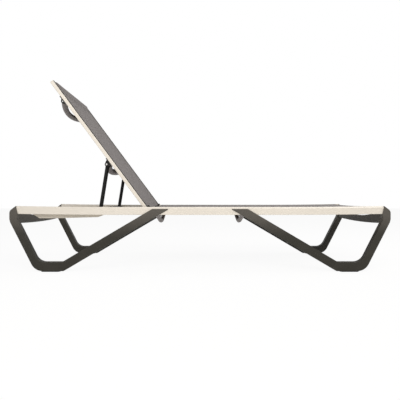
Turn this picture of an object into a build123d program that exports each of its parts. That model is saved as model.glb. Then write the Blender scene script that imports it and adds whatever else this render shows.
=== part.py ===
from build123d import *
import math
import os

# A stacking sun lounger: two side rails on four leg loops, a sling seat, and a sling
# back that is held up by a prop whose foot rests in two racks.
# X runs from the head end (-X) to the foot end (+X), Y across and Z up, in millimetres.
# The origin is on the ground under the middle of the side frame.

# Whole frame
frame_length = 1939.0
frame_width = 700.0
overrun = 2.0  # how far a cut runs past the face that it opens
fit_gap = 0.3  # between pieces that are plugged together
bore_gap = 0.05  # round a pin or a screw, on the radius

# Side rails, which rise a little towards both ends
rail_top = 330.0
rail_height = 40.0
rail_width = 30.0
rail_wall = 3.0
rail_set_in = 6.0  # outer face behind the outer face of the legs
rail_straight = 900.0
rail_end_rise = 5.0
rail_bevel = 7.0
rail_soft_edge = 1.5
joint_set_in = 32.0  # frame end to the upper corner of the rail
joint_slant = 10.0

# Sling cloth, the channels that hold its edges and the rods in its hems
sling_thickness = 2.0
sling_gap = 0.3
channel_width = 8.0
channel_height = 7.0
channel_roof = 3.5
channel_set_in = 9.5  # inner face of the rail to the middle of the channel
slot_width = 2.8
hem_thickness = 1.6
rod_radius = 3.0
seat_head_past_hinge = 28.5
seat_foot_set_in = 62.0

# Leg loops
leg_lean = 26.9
leg_band = 36.0
leg_edge = 3.5
cap_shoulder_radius = 24.0
cap_shoulder_drop = 19.0
cap_waist_radius = 60.0
cap_waist_drop = 70.0
knee_set_in = 3.5
knee_radius = 40.0
heel_radius = 65.0
inner_heel_radius = 57.0
foot_height = 46.0
foot_run = 275.0  # frame end to where the arm leaves the ground
foot_corner_radius = 14.0
arm_angle = 30.5
arm_width = 43.7
arm_top_drop = 9.5  # top of the lap below the top of the rail
arm_tip_radius = 2.0
arm_shoulder_radius = 9.0
arm_corner_radius = 6.0
spigot_length = 60.0

# Glides under the feet
glide_thickness = 4.0
glide_length = 98.0
glide_width = 29.0
glide_edge = 1.2
glide_set_in = 158.0  # frame end to the heel end of the glide
peg_radius = 4.0
peg_length = 12.0
peg_spacing = 56.0

# Arched crossbars at both ends
end_bar_thickness = 26.0
end_bar_set_in = 36.5  # frame end to the inner face
end_bar_low_drop = 83.5  # top of the rail to the lower edge at the ends
end_bar_high_drop = 18.0
end_bar_low_sag = 8.0
end_bar_high_sag = 36.0
end_bar_edge = 5.0
flange_height = 43.0
flange_thickness = 6.0
flange_overhang = 6.0

# Bowed crossbars under the seat
seat_bar_behind_tip = 73.0
seat_bar_width = 24.0
seat_bar_thickness = 25.0
seat_bar_end_drop = 26.0  # top of the rail to the middle of the bar's end
seat_bar_sag = 68.0
seat_bar_bend = 300.0
pad_length = 48.0
pad_height = 30.0
pad_drop = 9.0  # top of the rail to the top of the pad
pad_thickness = 6.0
pad_edge = 4.0

# Back frame, measured along the back from the hinge and forward of it
hinge_from_head = 679.0
hinge_drop = 27.0  # top of the rail to the hinge
back_angle = 53.4
back_length = 836.0
back_rail_start = 6.0
back_rail_width = 26.0
back_rail_depth = 18.0
back_rail_wall = 2.0
back_rail_gap = 16.0  # side rail to back rail
back_rail_edge = 3.0
back_channel_width = 7.0
back_channel_height = 5.5
back_channel_roof = 2.0
back_channel_set_in = 19.5
back_rod_radius = 2.5
back_sling_start = 12.0
back_cap_length = 3.0
back_cap_plug = 16.0
welt_width = 3.5
welt_height = 3.5

# Spreader tube in the hem at the top of the back
top_bar_below_end = 18.0
top_bar_radius = 14.0
top_bar_wall = 2.0
top_bar_depth = 6.5  # front of the back rails to the middle of the tube
top_plug_flange = 2.0
top_plug_length = 16.0
top_peg_radius = 3.0
top_peg_length = 9.0

# Hinges
boss_radius = 13.0
hinge_gap = 0.5
hinge_pin_radius = 5.0
hinge_head_radius = 9.0
hinge_head_height = 4.0
hinge_nut_radius = 7.0
hinge_nut_height = 5.0
shoe_radius = 14.0
shoe_cheek = 8.0
shoe_cheek_end = 20.0
shoe_nose_radius = 5.0
shoe_nose_station = 13.0
shoe_nose_proud = 7.0
shoe_tongue = 30.0

# Bowed crossbars of the back and the brackets that hold them
lower_bar_station = 322.0
upper_bar_below_end = 109.0
lower_bar_depth = 40.5  # front of the back rails to the pin in the bar's end
upper_bar_depth = 27.5
lower_bow_depths = (34.0, 76.0)  # front of the back rails to the bow's end and middle
upper_bow_depths = (21.5, 74.5)
lower_bar_section = (34.0, 33.0, 13.0)  # width along the back, thickness, corner radius
upper_bar_section = (27.0, 29.0, 12.0)
bar_pin_radius = 7.0
bar_pin_length = 14.0
bracket_length = 44.0
bracket_base = 4.0
bracket_ear = 14.0
bracket_gap = 1.5
bracket_nose_radius = 10.0
upper_bracket_length = 40.0

# Prop
prop_slope = 9.0
prop_foot_drop = 12.0  # top of the rail to the foot when the back is raised
prop_flat_drop = 30.0
prop_tube_radius = 10.2
prop_tube_wall = 2.0
prop_eye_radius = 11.5
prop_eye_width = 21.0
prop_cope = 4.5  # how far a tube reaches past the middle of the foot bar
prop_side_gap = 1.5
foot_bar_radius = 7.0
foot_bar_bore = 4.5
foot_plug_length = 16.0
foot_pin_radius = 2.5
roller_radius = 4.0
roller_length = 8.5

# Racks
rack_width = 12.0
rack_plate = 3.0
rack_top_drop = 8.0  # top of the rail to the top of the rack
rack_head_set_in = 103.0
rack_tail_past_foot = 38.0
rack_low_drop = 58.5
rack_low_tail_drop = 53.0
rack_head_taper = 38.0
rack_tail_taper = 36.0
rack_bend_set_in = 229.5
rack_floor_gap = 0.9
rack_steps = 30
rack_probe_share = 0.001  # share of the way over which the path's slope is taken
notch_radius = 6.0
notch_depth = 2.4
notch_shares = (0.25, 0.5, 0.75)

# Screws
screw_radius = 2.5
screw_head_radius = 4.5
screw_head_height = 2.5
leg_screw_length = 16.0
lap_screw_length = 33.5
lap_screw_behind_tip = 106.0
flange_screw_length = 22.0
pad_screw_length = 11.0
bracket_screw_length = 5.8
small_screw_radius = 1.9
rack_screw_length = 5.8
rack_screw_head_radius = 3.6
rack_screw_head_height = 1.6
pivot_screw_radius = 3.0
pivot_screw_length = 12.0
pivot_head_radius = 4.7
pivot_head_height = 2.5

# Places that follow from the sizes
half_length = frame_length / 2
half_straight = rail_straight / 2
hinge_x = -half_length + hinge_from_head
hinge_height = rail_top - hinge_drop
seat_head_x = hinge_x + seat_head_past_hinge
end_bar_low = rail_top - end_bar_low_drop
end_bar_high = rail_top - end_bar_high_drop
prop_foot_height = rail_top - prop_foot_drop
prop_flat_height = rail_top - prop_flat_drop
rack_top = rail_top - rack_top_drop
rack_low = rail_top - rack_low_drop
rack_low_tail = rail_top - rack_low_tail_drop
rack_bend_x = -half_length + rack_bend_set_in
leg_outer = frame_width / 2
rail_outer = leg_outer - rail_set_in
rail_inner = rail_outer - rail_width
leg_thickness = leg_outer - rail_inner
rail_bottom = rail_top - rail_height
rail_end = half_length - joint_set_in
rise_run = rail_end - half_straight
rise_radius = (rise_run**2 + rail_end_rise**2) / (2 * rail_end_rise)
rebate_depth = sling_thickness + 2 * sling_gap
rebate_floor = rail_top - rebate_depth
channel_top = rebate_floor - channel_roof
channel_low = channel_top - channel_height
channel_y = rail_inner + channel_set_in
void_low = rail_bottom + rail_wall
void_top = channel_low - rail_wall
seat_foot_x = half_length - seat_foot_set_in
foot_bottom = glide_thickness
foot_top = foot_bottom + foot_height
lap_top = rail_top - arm_top_drop
back_rail_outer = rail_inner - back_rail_gap
back_rail_inner = back_rail_outer - back_rail_width
back_front = rail_top - hinge_height
back_rear = back_front - back_rail_depth
back_channel_y = back_rail_inner + back_channel_set_in
back_rebate_floor = back_front - rebate_depth
back_channel_top = back_rebate_floor - back_channel_roof
back_channel_low = back_channel_top - back_channel_height
back_void_top = back_channel_low - back_rail_wall
back_void_low = back_rear + back_rail_wall
ear_outer = back_rail_inner - bracket_gap - bracket_gap
ear_inner = ear_outer - bracket_ear
eye_outer = ear_inner - prop_side_gap
eye_inner = eye_outer - prop_eye_width
lower_bar_half = eye_inner - prop_side_gap
upper_bar_half = ear_inner
upper_bar_station = back_length - upper_bar_below_end
top_bar_place = (back_length - top_bar_below_end, back_front - top_bar_depth)
top_plug_outer = back_rail_inner - fit_gap
top_bar_half = top_plug_outer - top_plug_flange
bracket_places = ((lower_bar_station, bracket_length), (upper_bar_station, upper_bracket_length))
back_lean = math.radians(back_angle)
up_back = Vector(-math.cos(back_lean), 0, math.sin(back_lean))
off_back = Vector(math.sin(back_lean), 0, math.cos(back_lean))
hinge = Vector(hinge_x, 0, hinge_height)


def rise_at(x):
    """How far the rail has risen at x, on the arc beyond its straight stretch."""
    beyond = max(abs(x) - half_straight, 0)
    return rise_radius - math.sqrt(rise_radius**2 - beyond**2)


def joint_at(height):
    """Distance from the middle to the slanted end of the rail, at a height in its section."""
    return rail_end - joint_slant * (rail_top - height) / rail_height


def side_plane(y):
    """A plane at y, drawn with x along the lounger and z up; it extrudes towards -Y."""
    return Plane.XZ.offset(-y)


def back_plane(y):
    """A plane at y, drawn up the back and forward of the hinge; it extrudes towards +Y."""
    return Plane(origin=(hinge.X, y, hinge.Z), x_dir=up_back, z_dir=(0, 1, 0))


def bow_plane(station):
    """A plane across the back at a station, drawn with x along Y and y forward."""
    return Plane(origin=hinge + up_back * station, x_dir=(0, 1, 0), z_dir=-up_back)


def crossing(start, along, other, beside):
    """Where the line from start meets the line through other, in a side view."""
    gap = other - start
    reach = (gap.X * beside.Y - gap.Y * beside.X) / (along.X * beside.Y - along.Y * beside.X)
    return start + along * reach


def rail_line(height, start, finish):
    """Follow the rail's slow curve at one height, from start to finish along X."""
    left = max(start, -half_straight)
    right = min(finish, half_straight)
    Line((left, height), (right, height))
    if start < left:
        halfway = (left + start) / 2
        ThreePointArc(
            (left, height), (halfway, height + rise_at(halfway)), (start, height + rise_at(start))
        )
    if finish > right:
        halfway = (right + finish) / 2
        ThreePointArc(
            (right, height), (halfway, height + rise_at(halfway)), (finish, height + rise_at(finish))
        )


def rail_band(low, high, low_ends, high_ends):
    """A closed face between two heights that follows the rail's curve."""
    with BuildLine() as outline:
        rail_line(low, low_ends[0], low_ends[1])
        rail_line(high, high_ends[0], high_ends[1])
        for foot, head in zip(low_ends, high_ends):
            Line((foot, low + rise_at(foot)), (head, high + rise_at(head)))
    make_face(outline.edges())


def full_ends(height, extra=0):
    """Both ends of the rail at one height, with an extra length past each."""
    end = joint_at(height) + extra
    return (-end, end)


def rail_body(y_outer, y_inner, low, high, extra=0, mode=Mode.ADD):
    """A stretch of the rail's section, from end to end, between two Y faces."""
    with BuildSketch(side_plane(y_outer)) as area:
        rail_band(low, high, full_ends(low, extra), full_ends(high, extra))
    extrude(area.sketch, amount=y_outer - y_inner, mode=mode)


def stubs(plane, places, radius, length, mode=Mode.ADD):
    """Round stubs of one radius that stand on a plane at the given places."""
    with BuildSketch(plane) as area:
        with Locations(*places):
            Circle(radius)
    extrude(area.sketch, amount=length, mode=mode)


def mirrored(piece, plane):
    """The mirror image of a finished piece."""
    with BuildPart() as twin:
        mirror(piece, about=plane)
    return twin.part


def save(name, piece):
    """Label a piece and write it to its file."""
    piece.label = name
    export_step(piece, f"parts/{name}.step")


def save_pair(name, piece):
    """Write a piece of the left side and its mirror image for the right side."""
    save(f"{name}_left", piece)
    save(f"{name}_right", mirrored(piece, Plane.XZ))


# Points of the leg in side view
lean = math.radians(leg_lean)
down_leg = Vector(math.sin(lean), -math.cos(lean))
level = Vector(1, 0)
upright = Vector(0, 1)
cap_shoulder = Vector(-half_length, rail_top - cap_shoulder_drop)
leg_side = Vector(-half_length, rail_top - cap_waist_drop)
joint_top = Vector(-joint_at(rail_top), rail_top + rise_at(joint_at(rail_top)))
joint_low = Vector(-joint_at(rail_bottom), rail_bottom + rise_at(joint_at(rail_bottom)))
heel = crossing(leg_side, down_leg, Vector(0, foot_bottom), level)
arm_start = Vector(-half_length + foot_run, foot_bottom)
along_arm = Vector(math.cos(math.radians(arm_angle)), math.sin(math.radians(arm_angle)))
arm_tip = crossing(arm_start, along_arm, Vector(0, lap_top), level)
arm_shoulder = arm_tip - Vector(arm_width / along_arm.Y, 0)
arm_corner = crossing(arm_shoulder, along_arm, Vector(0, foot_top), level)
inner_side = leg_side + Vector(leg_band / math.cos(lean), 0)
inner_heel = crossing(inner_side, down_leg, Vector(0, foot_top), level)
knee = crossing(inner_side, down_leg, Vector(joint_low.X - knee_set_in, 0), upright)

# Places of the screws and pegs, in side view
leg_screw_place = (-rail_end + spigot_length / 2, (void_low + void_top) / 2 + rail_end_rise)
lap_screw_place = (arm_tip.X - lap_screw_behind_tip, (void_low + void_top) / 2)
flange_x = -half_length + end_bar_set_in + end_bar_thickness / 2 - end_bar_thickness
flange_z = end_bar_low + flange_height / 2
flange_screw_places = [
    (flange_x, flange_z - screw_head_radius * 2),
    (flange_x, flange_z + screw_head_radius * 2),
]
glide_x = -half_length + glide_set_in + glide_length / 2
peg_places = [(glide_x - peg_spacing / 2, 0), (glide_x + peg_spacing / 2, 0)]
seat_bar_x = arm_tip.X - seat_bar_behind_tip

# Prop linkage: the foot of the prop as the back goes down to flat
prop_pivot = hinge + up_back * lower_bar_station + off_back * (back_front - lower_bar_depth)
prop_lean = math.radians(prop_slope)
prop_length = (prop_pivot.Z - prop_foot_height) / math.cos(prop_lean)
pivot_reach = prop_pivot - hinge
pivot_radius = pivot_reach.length
pivot_turn = math.atan2(pivot_reach.Z, pivot_reach.X)
prop_turn = -math.pi / 2 - prop_lean
flat_pivot_height = hinge.Z + back_front - lower_bar_depth
flat_turn = -math.pi - math.asin((prop_flat_height - flat_pivot_height) / prop_length)
prop_ratio = (flat_turn - prop_turn) / back_lean - 1


def foot_at(share):
    """The centre of the prop's foot when the back has gone a share of the way down."""
    turn = back_lean * share
    pivot_x = hinge.X + pivot_radius * math.cos(pivot_turn + turn)
    pivot_z = hinge.Z + pivot_radius * math.sin(pivot_turn + turn)
    swing = prop_turn + (prop_ratio + 1) * turn
    return Vector(pivot_x + prop_length * math.cos(swing), pivot_z + prop_length * math.sin(swing))


foot_rest = foot_at(0)
foot_flat = foot_at(1)


def side_rail():
    """An ivory extrusion with a bevelled shoulder, a hollow and a channel for the sling."""
    with BuildPart() as rail:
        rail_body(rail_outer, rail_inner, rail_bottom, rail_top)
        outer_face = rail.faces().sort_by(Axis.Y)[-1]
        top_edges = outer_face.edges().filter_by(lambda e: e.length > rail_height * 2).sort_by(Axis.Z)[3:]
        chamfer(top_edges, length=rail_bevel)
        low_edges = rail.faces().sort_by(Axis.Y)[-1].edges().filter_by(
            lambda e: e.length > rail_height * 2
        ).sort_by(Axis.Z)[:3]
        fillet(low_edges, radius=rail_soft_edge)
        rail_body(rail_outer - rail_wall, rail_inner + rail_wall, void_low, void_top, overrun, Mode.SUBTRACT)
        rail_body(
            rail_inner + channel_set_in + channel_width / 2 - fit_gap,
            rail_inner - overrun, rebate_floor, rail_top + overrun, overrun, Mode.SUBTRACT,
        )
        rail_body(
            channel_y + channel_width / 2, channel_y - channel_width / 2,
            channel_low, channel_top, overrun, Mode.SUBTRACT,
        )
        rail_body(
            channel_y + slot_width / 2, channel_y - slot_width / 2,
            channel_top - overrun, rebate_floor + overrun, overrun, Mode.SUBTRACT,
        )
        stubs(
            side_plane(rail_inner + rail_wall + overrun), [(hinge.X, hinge.Z)],
            hinge_pin_radius + bore_gap, rail_wall + 2 * overrun, Mode.SUBTRACT,
        )
        stubs(
            side_plane(rail_inner + rail_wall + overrun), rack_screw_places(),
            small_screw_radius + bore_gap, rail_wall + 2 * overrun, Mode.SUBTRACT,
        )
        for sense in (-1, 1):
            places = [(-sense * x, z) for x, z in pad_screw_places()]
            stubs(
                side_plane(rail_inner + rail_wall + overrun), places, small_screw_radius + bore_gap,
                rail_wall + 2 * overrun, Mode.SUBTRACT,
            )
            x, z = leg_screw_place
            stubs(
                side_plane(rail_inner + rail_wall + overrun), [(sense * -x, z)],
                screw_radius + bore_gap, rail_wall + 2 * overrun, Mode.SUBTRACT,
            )
            x, z = lap_screw_place
            stubs(
                side_plane(rail_outer + overrun), [(sense * -x, z)],
                screw_radius + bore_gap, rail_width + 2 * overrun, Mode.SUBTRACT,
            )
    return rail.part


def leg():
    """A moulded loop: cap, slanting leg, flat foot, and an arm that laps over the rail."""
    with BuildPart() as loop:
        with BuildSketch(side_plane(leg_outer)):
            with BuildLine():
                FilletPolyline(
                    joint_top, cap_shoulder, leg_side, heel, arm_start, arm_tip,
                    arm_shoulder, arm_corner, inner_heel, knee, joint_low,
                    radius=[
                        0, cap_shoulder_radius, cap_waist_radius, heel_radius, foot_corner_radius,
                        arm_tip_radius, arm_shoulder_radius, arm_corner_radius, inner_heel_radius,
                        knee_radius, 0,
                    ],
                    close=True,
                )
            make_face()
        extrude(amount=leg_thickness)
        joint_middle = (joint_top + joint_low) * 0.5
        rims = loop.faces().filter_by(Axis.Y).edges().filter_by(
            lambda e: abs(e.center().X - joint_middle.X) + abs(e.center().Z - joint_middle.Y) > rail_bevel
        )
        fillet(rims, radius=leg_edge)
        rail_body(rail_outer, rail_inner - overrun, rail_bottom, rail_top + overrun, 0, Mode.SUBTRACT)
        with BuildSketch(side_plane(rail_outer - rail_wall - fit_gap)):
            with Locations((-rail_end - overrun, void_low + rail_end_rise + fit_gap)):
                Rectangle(
                    spigot_length + overrun,
                    void_top - void_low - rail_end_rise - fit_gap * 2 + rise_at(rail_end - spigot_length),
                    align=(Align.MIN, Align.MIN),
                )
        extrude(amount=rail_width - 2 * rail_wall - 2 * fit_gap)
        stubs(
            side_plane(rail_inner + leg_screw_length), [leg_screw_place],
            screw_radius + bore_gap, leg_screw_length + overrun, Mode.SUBTRACT,
        )
        stubs(
            side_plane(rail_inner + lap_screw_length), [lap_screw_place],
            screw_radius + bore_gap, lap_screw_length, Mode.SUBTRACT,
        )
        stubs(
            side_plane(rail_inner + flange_screw_length - flange_thickness), flange_screw_places,
            screw_radius + bore_gap, flange_screw_length, Mode.SUBTRACT,
        )
        stubs(
            Plane.XY.offset(foot_bottom), [(x, rail_inner + leg_thickness / 2) for x, _ in peg_places],
            peg_radius + bore_gap, peg_length + fit_gap, Mode.SUBTRACT,
        )
    return loop.part


def glide():
    """A slip pad under the foot, with two pegs that plug into it."""
    with BuildPart() as pad:
        with BuildSketch(Plane.XY):
            with Locations((glide_x, rail_inner + leg_thickness / 2)):
                SlotOverall(glide_length, glide_width)
        extrude(amount=glide_thickness)
        fillet(pad.faces().sort_by(Axis.Z)[0].edges(), radius=glide_edge)
        stubs(
            Plane.XY.offset(glide_thickness),
            [(x, rail_inner + leg_thickness / 2) for x, _ in peg_places],
            peg_radius, peg_length,
        )
    return pad.part


def end_crossbar():
    """An arched panel between the two caps, with a flange at each end."""
    inner_x = -half_length + end_bar_set_in
    with BuildPart() as bar:
        with BuildSketch(Plane.YZ.offset(inner_x)):
            with BuildLine():
                middle = (0, end_bar_high - end_bar_high_sag)
                ThreePointArc((-rail_inner, end_bar_high), middle, (rail_inner, end_bar_high))
                ThreePointArc(
                    (-rail_inner, end_bar_low), (0, end_bar_low - end_bar_low_sag), (rail_inner, end_bar_low)
                )
                for y in (-rail_inner, rail_inner):
                    Line((y, end_bar_low), (y, end_bar_high))
            make_face()
        extrude(amount=-end_bar_thickness)
        fillet(bar.edges().filter_by(GeomType.CIRCLE), radius=end_bar_edge)
        for y in (rail_inner, -rail_inner + flange_thickness):
            with BuildSketch(side_plane(y)):
                with Locations((flange_x, flange_z)):
                    RectangleRounded(end_bar_thickness + flange_overhang, flange_height, end_bar_edge)
            extrude(amount=flange_thickness)
        stubs(
            side_plane(rail_inner + overrun), flange_screw_places,
            screw_radius + bore_gap, flange_thickness * 2, Mode.SUBTRACT,
        )
        stubs(
            side_plane(rail_inner - flange_thickness), flange_screw_places,
            screw_head_radius + bore_gap, end_bar_thickness, Mode.SUBTRACT,
        )
        stubs(
            side_plane(-rail_inner + flange_thickness * 2 - overrun), flange_screw_places,
            screw_radius + bore_gap, flange_thickness * 2, Mode.SUBTRACT,
        )
        stubs(
            side_plane(-rail_inner + flange_thickness + end_bar_thickness), flange_screw_places,
            screw_head_radius + bore_gap, end_bar_thickness, Mode.SUBTRACT,
        )
    return bar.part


def seat_crossbar():
    """A bar that bows down under the seat, with a pad on the inside of each side rail."""
    end_y = rail_inner - pad_thickness / 2
    end_z = rail_top - seat_bar_end_drop
    with BuildPart() as bar:
        with BuildLine(Plane.YZ.offset(seat_bar_x)) as bow:
            FilletPolyline(
                (-end_y, end_z), (0, end_z - seat_bar_sag), (end_y, end_z), radius=seat_bar_bend
            )
        with BuildSketch(Plane(origin=bow.line @ 0, x_dir=(1, 0, 0), z_dir=bow.line % 0)):
            Ellipse(seat_bar_width / 2, seat_bar_thickness / 2)
        sweep(path=bow.line)
        for sense in (-1, 1):
            with BuildSketch(side_plane(sense * rail_inner)):
                with Locations((seat_bar_x, end_z)):
                    Rectangle(pad_length, pad_height * 2)
            extrude(amount=-sense * seat_bar_thickness, mode=Mode.SUBTRACT)
            with BuildSketch(side_plane(sense * rail_inner)):
                with Locations((seat_bar_x, rail_top - pad_drop - pad_height / 2)):
                    RectangleRounded(pad_length, pad_height, pad_edge)
            extrude(amount=sense * pad_thickness)
            stubs(
                side_plane(sense * (rail_inner + overrun)), pad_screw_places(),
                small_screw_radius + bore_gap, sense * (pad_thickness + 2 * overrun), Mode.SUBTRACT,
            )
    return bar.part


def pad_screw_places():
    """Two screws in each pad of the crossbar under the seat, in side view."""
    run = pad_length / 2 - rack_screw_head_radius - pad_edge / 2
    z = (void_low + void_top) / 2
    return [(seat_bar_x - run, z), (seat_bar_x + run, z)]


def rack_lower_edge():
    """The lower edge of the rack from head to tail, in side view."""
    head = -half_length + rack_head_set_in
    tail = foot_rest.X + rack_tail_past_foot
    return [
        (head, rail_bottom + rise_at(head)),
        (head + rack_head_taper, rack_low),
        (rack_bend_x, rack_low),
        (tail - rack_tail_taper, rack_low_tail),
        (tail, rail_bottom),
    ]


def rack_screw_places():
    """Three screws that hold the rack, clear of the way of the prop's foot."""
    head = -half_length + rack_head_set_in
    tail = foot_rest.X + rack_tail_past_foot
    high = void_top - rack_screw_head_radius
    inset = rack_screw_head_radius * 3
    return [
        (head + rack_head_taper + inset, high),
        ((foot_rest.X + foot_flat.X) / 2, high),
        (tail - inset, rail_bottom + rack_screw_head_radius * 2),
    ]


def floor_at(share, drop):
    """A point of the rack's floor, a drop away from the roller's middle and square to its path."""
    spot = foot_at(share)
    along = (foot_at(share + rack_probe_share) - spot).normalized()
    return (spot.X - along.Y * drop, spot.Y + along.X * drop)


def rack():
    """A ledge inside the side rail that the foot of the prop runs along and rests in."""
    edge = rack_lower_edge()
    head = edge[0][0]
    tail = edge[-1][0]
    drop = roller_radius + rack_floor_gap
    floor_points = [floor_at(step / rack_steps, drop) for step in range(1, rack_steps + 1)]
    stop_x = foot_rest.X + roller_radius + fit_gap
    seat_z = foot_rest.Y - roller_radius - fit_gap
    end_x = foot_flat.X - roller_radius - overrun
    with BuildPart() as body:
        with BuildSketch(side_plane(rail_inner)):
            with BuildLine():
                Polyline(*edge, (tail, rack_top), (head, rack_top), close=True)
            make_face()
        extrude(amount=rack_plate)
        with BuildSketch(side_plane(rail_inner)):
            with BuildLine():
                Polyline(
                    *edge, (tail, rack_top), (stop_x, rack_top), (stop_x, seat_z),
                    (foot_rest.X - roller_radius / 2, seat_z), *floor_points,
                    (end_x, floor_points[-1][1]), (end_x, rack_top), (head, rack_top), close=True,
                )
            make_face()
            for share in notch_shares:
                spot = foot_at(share)
                with Locations((spot.X, spot.Y - drop - notch_depth + notch_radius)):
                    Circle(notch_radius, mode=Mode.SUBTRACT)
        extrude(amount=rack_width)
        stubs(
            side_plane(rail_inner + overrun), rack_screw_places(),
            small_screw_radius + bore_gap, rack_width + 2 * overrun, Mode.SUBTRACT,
        )
        stubs(
            side_plane(rail_inner - rack_plate + rack_screw_head_height), rack_screw_places(),
            rack_screw_head_radius + bore_gap, rack_width, Mode.SUBTRACT,
        )
    return body.part


def seat_sling():
    """The taut seat cloth with a hem that hangs into each side rail's slot."""
    low = rebate_floor + sling_gap
    high = low + sling_thickness
    edge_y = channel_y + hem_thickness / 2
    ends = (seat_head_x, seat_foot_x)
    with BuildPart() as cloth:
        with BuildSketch(side_plane(edge_y)):
            rail_band(low, high, ends, ends)
        extrude(amount=2 * edge_y)
        for y in (edge_y, -edge_y + hem_thickness):
            with BuildSketch(side_plane(y)):
                rail_band(rod_height() + rod_radius + sling_gap / 2, low, ends, ends)
            extrude(amount=hem_thickness)
    return cloth.part


def rod_height():
    """Height of the hem rod, which is pulled up under the roof of its channel."""
    return channel_top - rod_radius - fit_gap


def seat_rod():
    """The rod in the seat sling's hem, inside the rail's channel."""
    with BuildPart() as rod:
        with BuildLine(side_plane(channel_y)) as way:
            rail_line(rod_height(), seat_head_x, seat_foot_x)
        with BuildSketch(Plane.YZ.offset(seat_head_x)):
            with Locations((channel_y, rod_height())):
                Circle(rod_radius)
        sweep(path=way.wire())
    return rod.part


def hinge_boss():
    """A moulded spacer on the inner face of the side rail, round the hinge bolt."""
    with BuildPart() as boss:
        stubs(
            side_plane(rail_inner), [(hinge.X, hinge.Z)], boss_radius,
            rail_inner - back_rail_outer - hinge_gap,
        )
        stubs(
            side_plane(rail_inner + overrun), [(hinge.X, hinge.Z)], hinge_pin_radius + bore_gap,
            rail_inner - back_rail_outer + 2 * overrun, Mode.SUBTRACT,
        )
    return boss.part


def hinge_bolt():
    """The bolt that the back turns on: head, shank, and a nut inside the side rail."""
    spot = [(hinge.X, hinge.Z)]
    nut_y = rail_inner + rail_wall
    head_y = back_rail_inner - shoe_cheek - hinge_gap
    with BuildPart() as bolt:
        stubs(
            side_plane(nut_y + hinge_nut_height), spot, hinge_pin_radius,
            hinge_nut_height + nut_y - head_y,
        )
        stubs(side_plane(head_y), spot, hinge_head_radius, hinge_head_height)
        with BuildSketch(side_plane(nut_y + hinge_nut_height)):
            with Locations(*spot):
                RegularPolygon(hinge_nut_radius, 6)
        extrude(amount=hinge_nut_height)
    return bolt.part


def back_body(y, station, depth, amount, mode=Mode.ADD):
    """A straight stretch of the back rail between two stations and two depths."""
    with BuildSketch(back_plane(y)) as area:
        with Locations((station[0], depth[0])):
            Rectangle(station[1] - station[0], depth[1] - depth[0], align=(Align.MIN, Align.MIN))
    extrude(area.sketch, amount=amount, mode=mode)


def back_rail():
    """A slim ivory extrusion with a hollow and a channel for the back sling."""
    top = back_length - back_cap_length
    through = (back_rail_start - overrun, top + overrun)
    with BuildPart() as rail:
        back_body(back_rail_inner, (back_rail_start, top), (back_rear, back_front), back_rail_width)
        long_edges = rail.edges().filter_by(lambda e: e.length > back_length / 2)
        fillet(long_edges.sort_by(Axis.Y)[2:], radius=back_rail_edge)
        back_body(
            back_rail_inner + back_rail_wall, through, (back_void_low, back_void_top),
            back_rail_width - 2 * back_rail_wall, Mode.SUBTRACT,
        )
        back_body(
            back_channel_y - back_channel_width / 2, through, (back_channel_low, back_channel_top),
            back_channel_width, Mode.SUBTRACT,
        )
        back_body(
            back_channel_y - slot_width / 2, through, (back_channel_top, back_front + overrun),
            slot_width, Mode.SUBTRACT,
        )
        back_body(
            back_rail_inner - overrun, through, (back_rebate_floor, back_front + overrun),
            back_channel_set_in + overrun, Mode.SUBTRACT,
        )
        stubs(
            back_plane(back_rail_inner - overrun), [top_bar_place], top_peg_radius + bore_gap,
            top_peg_length + overrun + fit_gap, Mode.SUBTRACT,
        )
        for station, length in bracket_places:
            stubs(
                bracket_screw_plane(back_void_low + overrun), bracket_screw_places(station, length),
                small_screw_radius + bore_gap, back_rail_wall + 2 * overrun, Mode.SUBTRACT,
            )
    return rail.part


def bracket_screw_plane(forward):
    """A plane parallel to the back, drawn with x across and y up the back, facing rearward."""
    return Plane(origin=hinge + off_back * forward, x_dir=(0, 1, 0), z_dir=-off_back)


def bracket_screw_places(station, length):
    """Two screws through a bracket's base into the rear wall of the back rail."""
    middle = (back_rail_inner + back_rail_outer) / 2
    run = length / 2 - rack_screw_head_radius * 2
    return [(middle, -station - run), (middle, -station + run)]


def back_cap():
    """A plug that closes the top end of the back rail."""
    top = back_length - back_cap_length
    with BuildPart() as cap:
        back_body(back_rail_inner, (top, back_length), (back_rear, back_front), back_rail_width)
        end_face = cap.faces().sort_by(lambda f: (f.center() - hinge).dot(up_back))[-1]
        fillet(end_face.edges(), radius=back_rail_edge / 2)
        back_body(
            back_rail_inner + back_rail_wall + fit_gap, (top - back_cap_plug, top),
            (back_void_low + fit_gap, back_void_top - fit_gap),
            back_rail_width - 2 * back_rail_wall - 2 * fit_gap,
        )
    return cap.part


def hinge_shoe():
    """The moulded foot of the back rail: an eye, an inner cheek with a nose, and a tongue."""
    nose = back_front + shoe_nose_proud
    cheek_inner = back_rail_inner - shoe_cheek
    with BuildPart() as shoe:
        with BuildSketch(back_plane(cheek_inner)):
            Circle(shoe_radius)
            with Locations((shoe_nose_station, nose)):
                Circle(shoe_nose_radius)
            with Locations((shoe_cheek_end - shoe_nose_radius, back_rear)):
                Rectangle(shoe_nose_radius, back_rail_depth, align=(Align.MIN, Align.MIN))
            make_hull()
        extrude(amount=shoe_cheek)
        stubs(back_plane(back_rail_inner), [(0, 0)], shoe_radius, back_rail_width)
        back_body(
            back_rail_inner, (back_rail_start - fit_gap, shoe_cheek_end),
            (back_rear - fit_gap, back_front), back_rail_width, Mode.SUBTRACT,
        )
        back_body(
            back_rail_inner + back_rail_wall + fit_gap,
            (back_rail_start - shoe_nose_radius, back_rail_start + shoe_tongue),
            (back_void_low + fit_gap, back_void_top - fit_gap),
            back_rail_width - 2 * back_rail_wall - 2 * fit_gap,
        )
        stubs(
            back_plane(cheek_inner - overrun), [(0, 0)], hinge_pin_radius + bore_gap,
            back_rail_width + shoe_cheek + 2 * overrun, Mode.SUBTRACT,
        )
    return shoe.part


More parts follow.
